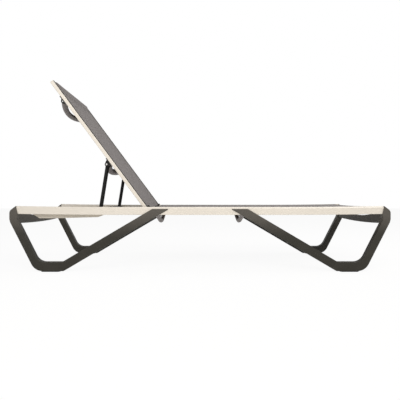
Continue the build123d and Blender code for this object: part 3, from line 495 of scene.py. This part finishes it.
def edge_wrap(slot_y, surface, rod, rod_radius, cloth):
    """Half a sling's section past its flat: into the slot, round the hem's rod and back."""
    layer = cloth * 0.58
    loop = rod_radius + cloth * 0.53
    neck = rod + loop + cloth
    round_from, round_to = 98, 442
    # The cloth bends over the slot's lip and goes down its neck, then round the rod and up.
    path = [
        (slot_y - 0.0034, surface), (slot_y - 0.0020, surface - 0.0001),
        (slot_y - 0.0011, surface - 0.0006), (slot_y - layer, surface - 0.0016),
        (slot_y - layer, neck),
    ]
    for turn in steps(round_from, round_to, 18):
        angle = math.radians(turn)
        path.append((slot_y + loop * math.cos(angle), rod + loop * math.sin(angle)))
    path += [(slot_y + layer, neck), (slot_y + layer, surface - 0.0022)]
    return path


def sling_columns(flat_half, wrap, count):
    """Both edge wraps and the flat between them, as pairs of width and depth."""
    surface = wrap[0][1]
    middle = [(y, surface) for y in steps(-flat_half, flat_half, count)]
    return [(-y, z) for y, z in reversed(wrap)] + middle + wrap


def wrapped_length(wrap):
    """How much cloth one edge takes past the flat."""
    pairs = zip(wrap, wrap[1:])
    return sum(math.dist(first, second) for first, second in pairs)


def rail_rise(x):
    """How far the side rail has risen at x."""
    beyond = max(abs(x) - RAIL_STRAIGHT_HALF, 0)
    return RAIL_RISE_RADIUS - math.sqrt(RAIL_RISE_RADIUS**2 - beyond**2)


def sag_at(y, half, depth):
    """The hang of a taut cloth between its two rails."""
    return depth * max(1 - (y / half) ** 2, 0)


def seat_place(x, y, z):
    """A point of the seat's cloth."""
    return Vector((x, y, z + rail_rise(x) - sag_at(y, RAIL_INNER, sizes().seat_sag)))


def back_place(station, y, front):
    """A point of the back's cloth, up the back and forward of the hinge."""
    sag = sag_at(y, BACK_STRIP_Y, sizes().back_sag)
    forward = front - sag + top_lift(station, y, BACK_CLOTH_FRONT - sag)
    return back_point(station, y, forward)


def back_point(station, y, forward):
    """A point at a station up the back, forward of the hinge's plane."""
    return HINGE + UP_BACK * station + OFF_BACK * forward + Vector((0, y, 0))


def sleeve_radius():
    """Radius of the middle of the cloth round the tube at the top of the back."""
    slack = 0.0003
    return TOP_BAR_RADIUS + slack + sizes().cloth / 2


def held_by_tube(y):
    """1 where the tube carries the cloth, 0 where the rail's slot holds it flat."""
    flat_from = BACK_SLOT_Y - 0.0045
    share = min(max((flat_from - abs(y)) / (flat_from - TOP_BAR_HALF), 0), 1)
    return share * share * (3 - 2 * share)


def top_lift(station, y, base):
    """How far the tube lifts the cloth off the flat, up to the tube's crown."""
    # The cloth rises in a straight ramp that touches the tube, and lies on the tube past that.
    ramp_at_rail = 0.030
    more_in_middle = 0.040
    ramp = ramp_at_rail + more_in_middle * max(1 - (y / TOP_BAR_HALF) ** 2, 0)
    along = station - TOP_BAR_STATION
    if along <= -ramp:
        return 0
    radius = sleeve_radius()
    low = base - TOP_BAR_FRONT
    reach = math.hypot(ramp, low)
    slope = math.atan2(-low, ramp) + math.asin(radius / reach)
    touch = -radius * math.sin(slope)
    if along < touch:
        high = low + (along + ramp) * math.tan(slope)
    else:
        high = math.sqrt(max(radius**2 - along**2, 0))
    return held_by_tube(y) * max(high - low, 0)


def top_turn(angle, y, depth):
    """A point of the cloth past the tube's crown, at an angle round the tube in degrees."""
    radius = sleeve_radius()
    station = TOP_BAR_STATION + radius * math.cos(math.radians(angle))
    forward = TOP_BAR_FRONT + radius * math.sin(math.radians(angle))
    flat = depth - sag_at(y, BACK_STRIP_Y, sizes().back_sag)
    if abs(y) > TOP_BAR_HALF:
        forward = flat + held_by_tube(y) * max(forward - flat, 0)
    return back_point(station, y, forward)


def top_under(share, y):
    """A point of the cloth behind the tube, which it leaves at 0. The seam is at 1, the edge at 2."""
    layers_apart = 1.4
    radius = sleeve_radius()
    leave = math.radians(TOP_LEAVE_DEGREES)
    start_station = TOP_BAR_STATION + radius * math.cos(leave)
    start_forward = TOP_BAR_FRONT + radius * math.sin(leave)
    seam = TOP_BAR_STATION - TOP_SEAM_BEHIND
    sag = sag_at(y, BACK_STRIP_Y, sizes().back_sag)
    under = BACK_CLOTH_FRONT - sizes().cloth * layers_apart - sag
    if share <= 1:
        end_forward = under + top_lift(seam, y, BACK_CLOTH_FRONT - sag)
        station = start_station + (seam - start_station) * share
        return back_point(station, y, start_forward + (end_forward - start_forward) * share)
    station = seam - (share - 1) * TOP_HEM
    return back_point(station, y, under + top_lift(station, y, BACK_CLOTH_FRONT - sag))


def hem_piece(name, end, sense, half, place_at, finish):
    """The cloth that is turned under at one end, from its fold to its cut edge."""
    depth = sizes().cloth * 1.5
    fold = [
        (end, 0), (end - sense * depth * 0.4, -depth * 0.2),
        (end - sense * depth * 0.5, -depth * 0.5), (end - sense * depth * 0.4, -depth * 0.85),
        (end, -depth),
        (end + sense * sizes().hem * 0.5, -depth), (end + sense * sizes().hem, -depth),
    ]
    hem = grid_piece(
        name, fold, steps(-half, half, 48), lambda row, y: place_at(row[0], y, row[1]), finish
    )
    return thicken(hem, sizes().cloth)


def stitch_line(places, faces, start, finish, place_at, lift):
    """Adds a row of stitches between two widths to a list of places and faces."""
    length = sizes().stitch
    pitch = length + sizes().stitch_gap
    count = int((finish - start) / pitch)
    width = sizes().stitch_width / 2
    sides = 6
    # Shares of the length, the thickness and the lift, from one needle hole to the next.
    profile = (
        (0, 0.25, -0.6), (0.15, 0.85, 0.1), (0.5, 1, 0.35), (0.85, 0.85, 0.1), (1, 0.25, -0.6)
    )
    for number in range(count):
        first = start + number * pitch
        base = len(places)
        for along, girth, high in profile:
            y = first + along * length
            for side in range(sides):
                angle = math.tau * side / sides
                places.append(
                    place_at(y, width * girth * math.cos(angle), lift * (1 + 0.4 * high)
                             + width * girth * math.sin(angle))
                )
        tube_faces(faces, base, len(profile), sides)


def stitched_ends(name, ends, half, place_at):
    """Two rows of stitches along each hem, seen on both faces of the cloth."""
    places, faces = [], []
    over = sizes().cloth * 0.5 + sizes().stitch_width * 0.2
    under = -sizes().cloth * 2 - sizes().stitch_width * 0.2
    for end, sense in ends:
        for inset in (sizes().hem * 0.72, sizes().hem * 0.88):
            at = end + sense * inset
            for lift in (over, under):
                stitch_line(
                    places, faces, -half, half,
                    lambda y, aside, high, at=at: place_at(at + aside, y, high), lift,
                )
    return piece_from(name, places, faces, "bonded_polyester_thread")


def loose_parts(node):
    """The corner places of each separate solid in a CAD node."""
    same_place = 0.00002
    shape = bmesh.new()
    shape.from_mesh(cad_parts[node].data)
    bmesh.ops.remove_doubles(shape, verts=shape.verts, dist=same_place)
    left = set(shape.verts)
    parts = []
    while left:
        waiting = [left.pop()]
        found = []
        while waiting:
            corner = waiting.pop()
            found.append(corner.co.copy())
            for edge in corner.link_edges:
                other = edge.other_vert(corner)
                if other in left:
                    left.remove(other)
                    waiting.append(other)
        parts.append(found)
    shape.free()
    return parts


def off_axis(point, centre, axis):
    """How far a point lies from the line through a centre along an axis."""
    return (point - centre - axis * (point - centre).dot(axis)).length


def turned_screw(places, faces, points, axis):
    """Adds a button-head screw with a hexagon socket where a plain CAD screw lies."""
    near = 0.0002
    clear = 0.0005
    segments = 24
    hexagon_half = 0.93
    heights = [point.dot(axis) for point in points]
    top, low = max(heights), min(heights)
    crown = [point for point, height in zip(points, heights) if height > top - near]
    tip = [point for point, height in zip(points, heights) if height < low + near]
    centre = sum(crown, Vector()) / len(crown)
    centre -= axis * (centre.dot(axis) - top)
    head = max(off_axis(point, centre, axis) for point in crown)
    shank = max(off_axis(point, centre, axis) for point in tip)
    neck = sorted({round(height, 5) for height in heights if low + clear < height < top - clear})
    depth = top - neck[-1] if neck else (top - low) * 0.3
    socket = head * 0.42
    aside = axis.orthogonal().normalized()
    beyond = axis.cross(aside)
    # Radius, height over the crown and whether the ring has six sides, from the floor of
    # the socket over the head to the tip.
    profile = [
        (0, -depth * 0.55, False), (socket * 0.5, -depth * 0.55, True),
        (socket, -depth * 0.5, True), (socket, -depth * 0.06, True),
        (socket * 1.22, 0, False), (head * 0.72, -depth * 0.04, False),
        (head * 0.9, -depth * 0.2, False), (head * 0.985, -depth * 0.5, False),
        (head, -depth * 0.8, False), (head * 0.97, -depth, False),
        (shank, -depth, False), (shank, low - top + shank * 0.4, False),
        (shank * 0.6, low - top, False), (0, low - top, False),
    ]
    base = len(places)
    for radius, height, six_sided in profile:
        for segment in range(segments):
            angle = math.tau * segment / segments
            reach = radius
            if six_sided:
                off_flat = math.radians(math.degrees(angle) % 60 - 30)
                reach = radius / math.cos(off_flat) * hexagon_half
            places.append(
                centre + axis * height
                + aside * reach * math.cos(angle) + beyond * reach * math.sin(angle)
            )
    for ring in range(len(profile) - 1):
        for segment in range(segments):
            after = (segment + 1) % segments
            faces.append((
                base + ring * segments + segment, base + (ring + 1) * segments + segment,
                base + (ring + 1) * segments + after, base + ring * segments + after,
            ))


def screw_set(node, name, body, axis_at):
    """Stands socket screws in for one node of plain screws."""
    same_place = 0.000005
    sharp_degrees = 35
    places, faces = [], []
    for points in loose_parts(node):
        middle = sum(points, Vector()) / len(points)
        turned_screw(places, faces, points, axis_at(middle))
    screws = piece_from(name, places, faces, "tumbled_stainless_steel")
    shape = bmesh.new()
    shape.from_mesh(screws.data)
    bmesh.ops.remove_doubles(shape, verts=shape.verts, dist=same_place)
    shape.to_mesh(screws.data)
    shape.free()
    sharpen(screws, sharp_degrees)
    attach(screws, body)
    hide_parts(node)


def sharpen(piece, degrees):
    """Keeps edges sharp where faces meet at more than an angle."""
    shape = bmesh.new()
    shape.from_mesh(piece.data)
    for edge in shape.edges:
        edge.smooth = len(edge.link_faces) == 2 and edge.calc_face_angle(0) < math.radians(degrees)
    shape.to_mesh(piece.data)
    shape.free()


def weld_beads():
    """The weld beads round the prop's foot bar, one on each side of each arm."""
    turns = steps(58, 302, 60)
    turns_in_ripple = 5
    ripple_share = 0.1
    fade_turns = 4
    sides = 8
    down = (PROP_FOOT - PIVOT).normalized()
    aside = down.cross(Vector((0, 1, 0)))
    places, faces = [], []
    for arm_y in (-PROP_ARM_Y, PROP_ARM_Y):
        for sense in (-1, 1):
            base = len(places)
            for number, turn in enumerate(turns):
                angle = math.radians(turn)
                reach = down * math.cos(angle) + aside * math.sin(angle)
                off = math.sqrt(PROP_TUBE_RADIUS**2 - (FOOT_BAR_RADIUS * math.sin(angle)) ** 2)
                across = Vector((0, arm_y + sense * off, 0))
                centre = PROP_FOOT + reach * FOOT_BAR_RADIUS + across
                ripple = 1 + ripple_share * math.cos(number * math.tau / turns_in_ripple)
                fade = min(1, (number + 1) / fade_turns, (len(turns) - number) / fade_turns)
                girth = sizes().bead / 2 * ripple * fade
                for side in range(sides):
                    round_it = math.tau * side / sides
                    places.append(
                        centre + reach * girth * math.cos(round_it)
                        + Vector((0, girth * math.sin(round_it), 0))
                    )
            tube_faces(faces, base, len(turns), sides)
    return piece_from("prop_weld_beads", places, faces, "black_powder_coated_steel")


def inward(middle):
    """Across the lounger, from either side towards its middle."""
    return Vector((0, -math.copysign(1, middle.y), 0))


def outward(middle):
    """Across the lounger, from its middle towards either side."""
    return Vector((0, math.copysign(1, middle.y), 0))


def rearward(middle):
    """Off the rear of the raised back."""
    return -OFF_BACK


class LOUNGER_OT_side_rails(bpy.types.Operator):
    """Finishes the two side rails"""

    bl_idname = "lounger.side_rails"
    bl_label = "Side Rails"

    def execute(self, context):
        dress("satin_powder_coated_aluminium", *both("side_rail"))
        return {"FINISHED"}


class LOUNGER_OT_legs(bpy.types.Operator):
    """Finishes the four leg loops and their glides"""

    bl_idname = "lounger.legs"
    bl_label = "Legs"

    def execute(self, context):
        dress("taupe_glass_filled_polypropylene", *both("leg_head"), *both("leg_foot"))
        dress("thermoplastic_rubber", *both("glide_head"), *both("glide_foot"))
        return {"FINISHED"}


class LOUNGER_OT_end_crossbars(bpy.types.Operator):
    """Finishes the arched crossbars at both ends"""

    bl_idname = "lounger.end_crossbars"
    bl_label = "End Crossbars"

    def execute(self, context):
        dress("taupe_polypropylene_crossbar", "head_crossbar", "foot_crossbar")
        return {"FINISHED"}


class LOUNGER_OT_bowed_crossbars(bpy.types.Operator):
    """Finishes the bowed crossbars of the seat and the back"""

    bl_idname = "lounger.bowed_crossbars"
    bl_label = "Bowed Crossbars"

    def execute(self, context):
        dress(
            "taupe_powder_coated_aluminium",
            "seat_crossbar_head", "seat_crossbar_foot", "lower_crossbar", "upper_crossbar",
        )
        return {"FINISHED"}


class LOUNGER_OT_racks(bpy.types.Operator):
    """Finishes the racks that carry the prop's foot"""

    bl_idname = "lounger.racks"
    bl_label = "Racks"

    def execute(self, context):
        dress("ivory_moulded_nylon", *both("rack"))
        return {"FINISHED"}


class LOUNGER_OT_back_frame(bpy.types.Operator):
    """Finishes the rails, caps, shoes, welts and brackets of the back"""

    bl_idname = "lounger.back_frame"
    bl_label = "Back Frame"

    def execute(self, context):
        dress("satin_powder_coated_aluminium", *both("back_rail"))
        dress("ivory_moulded_nylon", *both("back_rail_cap"))
        dress(
            "dark_moulded_nylon",
            *both("hinge_shoe"), *both("back_welt"), *both("lower_bracket"), *both("upper_bracket"),
        )
        return {"FINISHED"}


class LOUNGER_OT_hinges(bpy.types.Operator):
    """Finishes the hinge bosses and bolts"""

    bl_idname = "lounger.hinges"
    bl_label = "Hinges"

    def execute(self, context):
        dress("dark_moulded_nylon", *both("hinge_boss"))
        dress("tumbled_stainless_steel", *both("hinge_bolt"))
        return {"FINISHED"}


class LOUNGER_OT_prop(bpy.types.Operator):
    """Finishes the prop and adds its weld beads"""

    bl_idname = "lounger.prop"
    bl_label = "Prop"

    def execute(self, context):
        dress("black_powder_coated_steel", *both("prop_arm"), "prop_foot_bar")
        dress("tumbled_stainless_steel", *both("prop_foot_pin"))
        dress("dark_moulded_nylon", *both("prop_foot_roller"))
        beads = weld_beads()
        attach(beads, "prop")
        return {"FINISHED"}


class LOUNGER_OT_screws(bpy.types.Operator):
    """Stands socket screws in for the plain ones"""

    bl_idname = "lounger.screws"
    bl_label = "Screws"

    def execute(self, context):
        screw_set("leg_screws", "leg_socket_screws", "frame", inward)
        screw_set("crossbar_screws", "crossbar_socket_screws", "frame", inward)
        screw_set("seat_crossbar_screws", "seat_crossbar_socket_screws", "frame", inward)
        screw_set("rack_screws", "rack_socket_screws", "frame", inward)
        screw_set("bracket_screws", "bracket_socket_screws", "backrest", rearward)
        screw_set("pivot_screws", "pivot_socket_screws", "backrest", outward)
        return {"FINISHED"}


class LOUNGER_OT_seat_sling(bpy.types.Operator):
    """Weaves the seat's cloth, its hems and its stitches"""

    bl_idname = "lounger.seat_sling"
    bl_label = "Seat Sling"

    def execute(self, context):
        cloth = sizes().cloth
        beside_slot = 0.006
        flat_half = SLOT_Y - beside_slot
        wrap = edge_wrap(SLOT_Y, SEAT_CLOTH_Z, SEAT_ROD_Z, SEAT_ROD_RADIUS, cloth)
        columns = sling_columns(flat_half, wrap, 40)
        rows = steps(SEAT_HEAD_X, SEAT_FOOT_X, 48)
        sling = grid_piece(
            "seat_sling_cloth", rows, columns, lambda x, at: seat_place(x, at[0], at[1]),
            "pvc_coated_polyester_mesh_seat",
        )
        thicken(sling, cloth)
        hem_half = RAIL_INNER - HEM_GAP
        ends = ((SEAT_HEAD_X, 1), (SEAT_FOOT_X, -1))

        def off_cloth(x, y, high):
            return seat_place(x, y, SEAT_CLOTH_Z + high)

        hems = [
            hem_piece(name, end, sense, hem_half, off_cloth, "pvc_coated_polyester_mesh_seat")
            for name, (end, sense) in zip(("seat_sling_head_hem", "seat_sling_foot_hem"), ends)
        ]
        stitches = stitched_ends("seat_sling_stitches", ends, hem_half, off_cloth)
        for piece in (sling, *hems, stitches):
            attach(piece, "frame")
        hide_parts("seat_sling")
        girth = 2 * (flat_half + wrapped_length(wrap))
        dress("dark_moulded_nylon", *both("seat_sling_rod"))
        return {"FINISHED"}


class LOUNGER_OT_back_sling(bpy.types.Operator):
    """Weaves the back's cloth, its sleeve, its hem and its stitches"""

    bl_idname = "lounger.back_sling"
    bl_label = "Back Sling"

    def execute(self, context):
        # Below the rails' channels the cloth is only as wide as the strip between them, and
        # its rows lie closer together where it ramps up to the tube.
        cloth = sizes().cloth
        hair = 0.0001
        beside_from, beside_to = 0.2725, 0.2855
        below_channel = 0.016
        ramp_from, ramp_next = 0.740, 0.7445
        wrap = edge_wrap(BACK_SLOT_Y, BACK_CLOTH_FRONT, BACK_ROD_FRONT, BACK_ROD_RADIUS, cloth)
        past_bar = (TOP_BAR_HALF, *steps(beside_from, beside_to, 5))
        beside = [(y, BACK_CLOTH_FRONT) for y in past_bar]
        columns = sling_columns(BACK_STRIP_Y, beside + wrap, 36)
        rows = [("flat", at) for at in (BACK_START, below_channel)]
        rows += [("flat", at) for at in steps(BACK_HELD_START, ramp_from, 32)]
        rows += [("flat", at) for at in steps(ramp_next, TOP_BAR_STATION, 18)]
        rows += [("turn", at) for at in steps(82, 0, 10) + steps(-10, TOP_LEAVE_DEGREES, 12)]
        rows += [("under", at) for at in (0.33, 0.67, 1, 1.5, 2)]

        def place(row, at):
            if row[0] == "flat":
                return back_place(row[1], at[0], at[1])
            if row[0] == "turn":
                return top_turn(row[1], at[0], at[1])
            return top_under(row[1], at[0])

        def wanted(row, at):
            if row[0] == "flat" and row[1] < BACK_HELD_START:
                return abs(at[0]) <= BACK_STRIP_Y + hair
            if row[0] == "under" or row[0] == "turn" and row[1] < 0:
                return abs(at[0]) <= TOP_BAR_HALF + hair
            return True

        def off_cloth(station, y, high):
            return back_place(station, y, BACK_CLOTH_FRONT + high)

        sling = grid_piece(
            "back_sling_cloth", rows, columns, place, "pvc_coated_polyester_mesh_back", wanted
        )
        thicken(sling, cloth)
        hem_half = BACK_STRIP_Y - HEM_GAP
        sleeve_seam = TOP_BAR_STATION - TOP_SEAM_BEHIND - sizes().hem
        hems = [hem_piece(
            "back_sling_lower_hem", BACK_START, 1, hem_half, off_cloth,
            "pvc_coated_polyester_mesh_back",
        )]
        stitches = stitched_ends(
            "back_sling_stitches", ((BACK_START, 1), (sleeve_seam, 1)), hem_half, off_cloth
        )
        for piece in (sling, *hems, stitches):
            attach(piece, "backrest")
        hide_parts("back_sling")
        past_strip = [(BACK_STRIP_Y, BACK_CLOTH_FRONT)] + beside + wrap
        girth = 2 * (BACK_STRIP_Y + wrapped_length(past_strip))
        dress("dark_moulded_nylon", *both("back_sling_rod"), *both("back_top_bar_plug"))
        dress("satin_powder_coated_aluminium", "back_top_bar")
        return {"FINISHED"}


def area_light(name, place, target, size, power, tint):
    """A soft square lamp that points at a place."""
    lamp = bpy.data.lights.new(name, "AREA")
    lamp.size = size
    lamp.energy = power
    lamp.color = linear(tint)[:3]
    holder = bpy.data.objects.new(name, lamp)
    holder.location = place
    holder.rotation_euler = (Vector(target) - Vector(place)).to_track_quat("-Z", "Y").to_euler()
    bpy.context.collection.objects.link(holder)


def seen_directly(tree):
    """1 for what the camera, a reflection or a clear material sees, and 0 for light on surfaces."""
    path = add(tree, "LightPath")
    either = add(
        tree, "Math", {0: path.outputs["Is Camera Ray"], 1: path.outputs["Is Glossy Ray"]},
        operation="MAXIMUM",
    )
    return add(
        tree, "Math", {0: either.outputs[0], 1: path.outputs["Is Transmission Ray"]},
        operation="MAXIMUM",
    ).outputs[0]


class LOUNGER_OT_stage(bpy.types.Operator):
    """Sets the floor, the backdrop, the lamps and the camera"""

    bl_idname = "lounger.stage"
    bl_label = "Stage"

    def execute(self, context):
        white = (1, 1, 1, 1)
        glow_share = 0.93
        sky_strength = 0.3
        reach = 12
        mesh = bpy.data.meshes.new("floor")
        mesh.from_pydata(
            [(-reach, -reach, 0), (reach, -reach, 0), (reach, reach, 0), (-reach, reach, 0)], [],
            [(0, 1, 2, 3)],
        )
        floor = bpy.data.objects.new("floor", mesh)
        context.collection.objects.link(floor)
        material, tree = blank_material("pale_painted_floor")
        matt = add(tree, "BsdfDiffuse", {"Color": colours().floor, "Roughness": 0.6})
        glow = add(tree, "Emission", {"Color": white, "Strength": 1.0})
        lit = add(tree, "MixShader", {0: glow_share, 1: matt.outputs[0], 2: glow.outputs[0]})
        seen = add(
            tree, "MixShader", {0: seen_directly(tree), 1: matt.outputs[0], 2: lit.outputs[0]}
        )
        add(tree, "OutputMaterial", {"Surface": seen.outputs[0]})
        mesh.materials.append(material)

        world = bpy.data.worlds.new("studio")
        world.use_nodes = True
        world.node_tree.nodes.clear()
        tree = world.node_tree
        dim = add(tree, "Background", {"Color": white, "Strength": sky_strength})
        bright = add(tree, "Background", {"Color": white, "Strength": 1.0})
        both_skies = add(
            tree, "MixShader", {0: seen_directly(tree), 1: dim.outputs[0], 2: bright.outputs[0]}
        )
        add(tree, "OutputWorld", {"Surface": both_skies.outputs[0]})
        context.scene.world = world

        area_light("key", (0.1, -3.2, 2.5), (-0.1, 0, 0.3), 1.8, 66, "FFFAF4")
        area_light("fill", (-1.5, -3.3, 1.5), (-0.3, 0, 0.35), 2.4, 17, "FAFBFF")
        area_light("top", (1.7, 0.2, 2.5), (0.3, 0, 0.2), 2.2, 38, "FFFFFF")

        # The photograph looks square on at the near side, from a little over the seat.
        lens = bpy.data.cameras.new("camera")
        lens.sensor_width = 36
        lens.lens = 35.81
        lens.shift_y = -0.005
        lens.clip_end = 60
        camera = bpy.data.objects.new("camera", lens)
        camera.location = (0, -2.37, 0.376)
        camera.rotation_euler = (math.radians(90), 0, 0)
        context.collection.objects.link(camera)
        context.scene.camera = camera
        context.scene.view_settings.view_transform = "Standard"
        return {"FINISHED"}


OPERATORS = (
    LOUNGER_OT_stage,
    LOUNGER_OT_side_rails,
    LOUNGER_OT_legs,
    LOUNGER_OT_end_crossbars,
    LOUNGER_OT_bowed_crossbars,
    LOUNGER_OT_racks,
    LOUNGER_OT_back_frame,
    LOUNGER_OT_hinges,
    LOUNGER_OT_prop,
    LOUNGER_OT_screws,
    LOUNGER_OT_seat_sling,
    LOUNGER_OT_back_sling,
)


class LOUNGER_PT_panel(bpy.types.Panel):
    """Lists the lounger's steps, sizes and colours"""

    bl_idname = "LOUNGER_PT_panel"
    bl_label = "Sun Lounger"
    bl_space_type = "VIEW_3D"
    bl_region_type = "UI"
    bl_category = "Lounger"

    def draw(self, context):
        for operator in OPERATORS:
            self.layout.operator(operator.bl_idname)
        for group in (context.scene.lounger_sizes, context.scene.lounger_colours):
            box = self.layout.box()
            for name in type(group).__annotations__:
                box.prop(group, name)


CLASSES = (LoungerColours, LoungerSizes, *OPERATORS, LOUNGER_PT_panel)


def register():
    """Registers the classes and puts their settings on the scene."""
    for item in CLASSES:
        bpy.utils.register_class(item)
    bpy.types.Scene.lounger_colours = bpy.props.PointerProperty(type=LoungerColours)
    bpy.types.Scene.lounger_sizes = bpy.props.PointerProperty(type=LoungerSizes)


def unregister():
    """Takes the settings and the classes away again."""
    del bpy.types.Scene.lounger_sizes
    del bpy.types.Scene.lounger_colours
    for item in reversed(CLASSES):
        bpy.utils.unregister_class(item)


def main():
    """Builds the dressed lounger."""
    register()
    bpy.ops.lounger.stage()
    bpy.ops.lounger.side_rails()
    bpy.ops.lounger.legs()
    bpy.ops.lounger.end_crossbars()
    bpy.ops.lounger.bowed_crossbars()
    bpy.ops.lounger.racks()
    bpy.ops.lounger.back_frame()
    bpy.ops.lounger.hinges()
    bpy.ops.lounger.prop()
    bpy.ops.lounger.screws()
    bpy.ops.lounger.seat_sling()
    bpy.ops.lounger.back_sling()


if __name__ == "__main__":
    main()
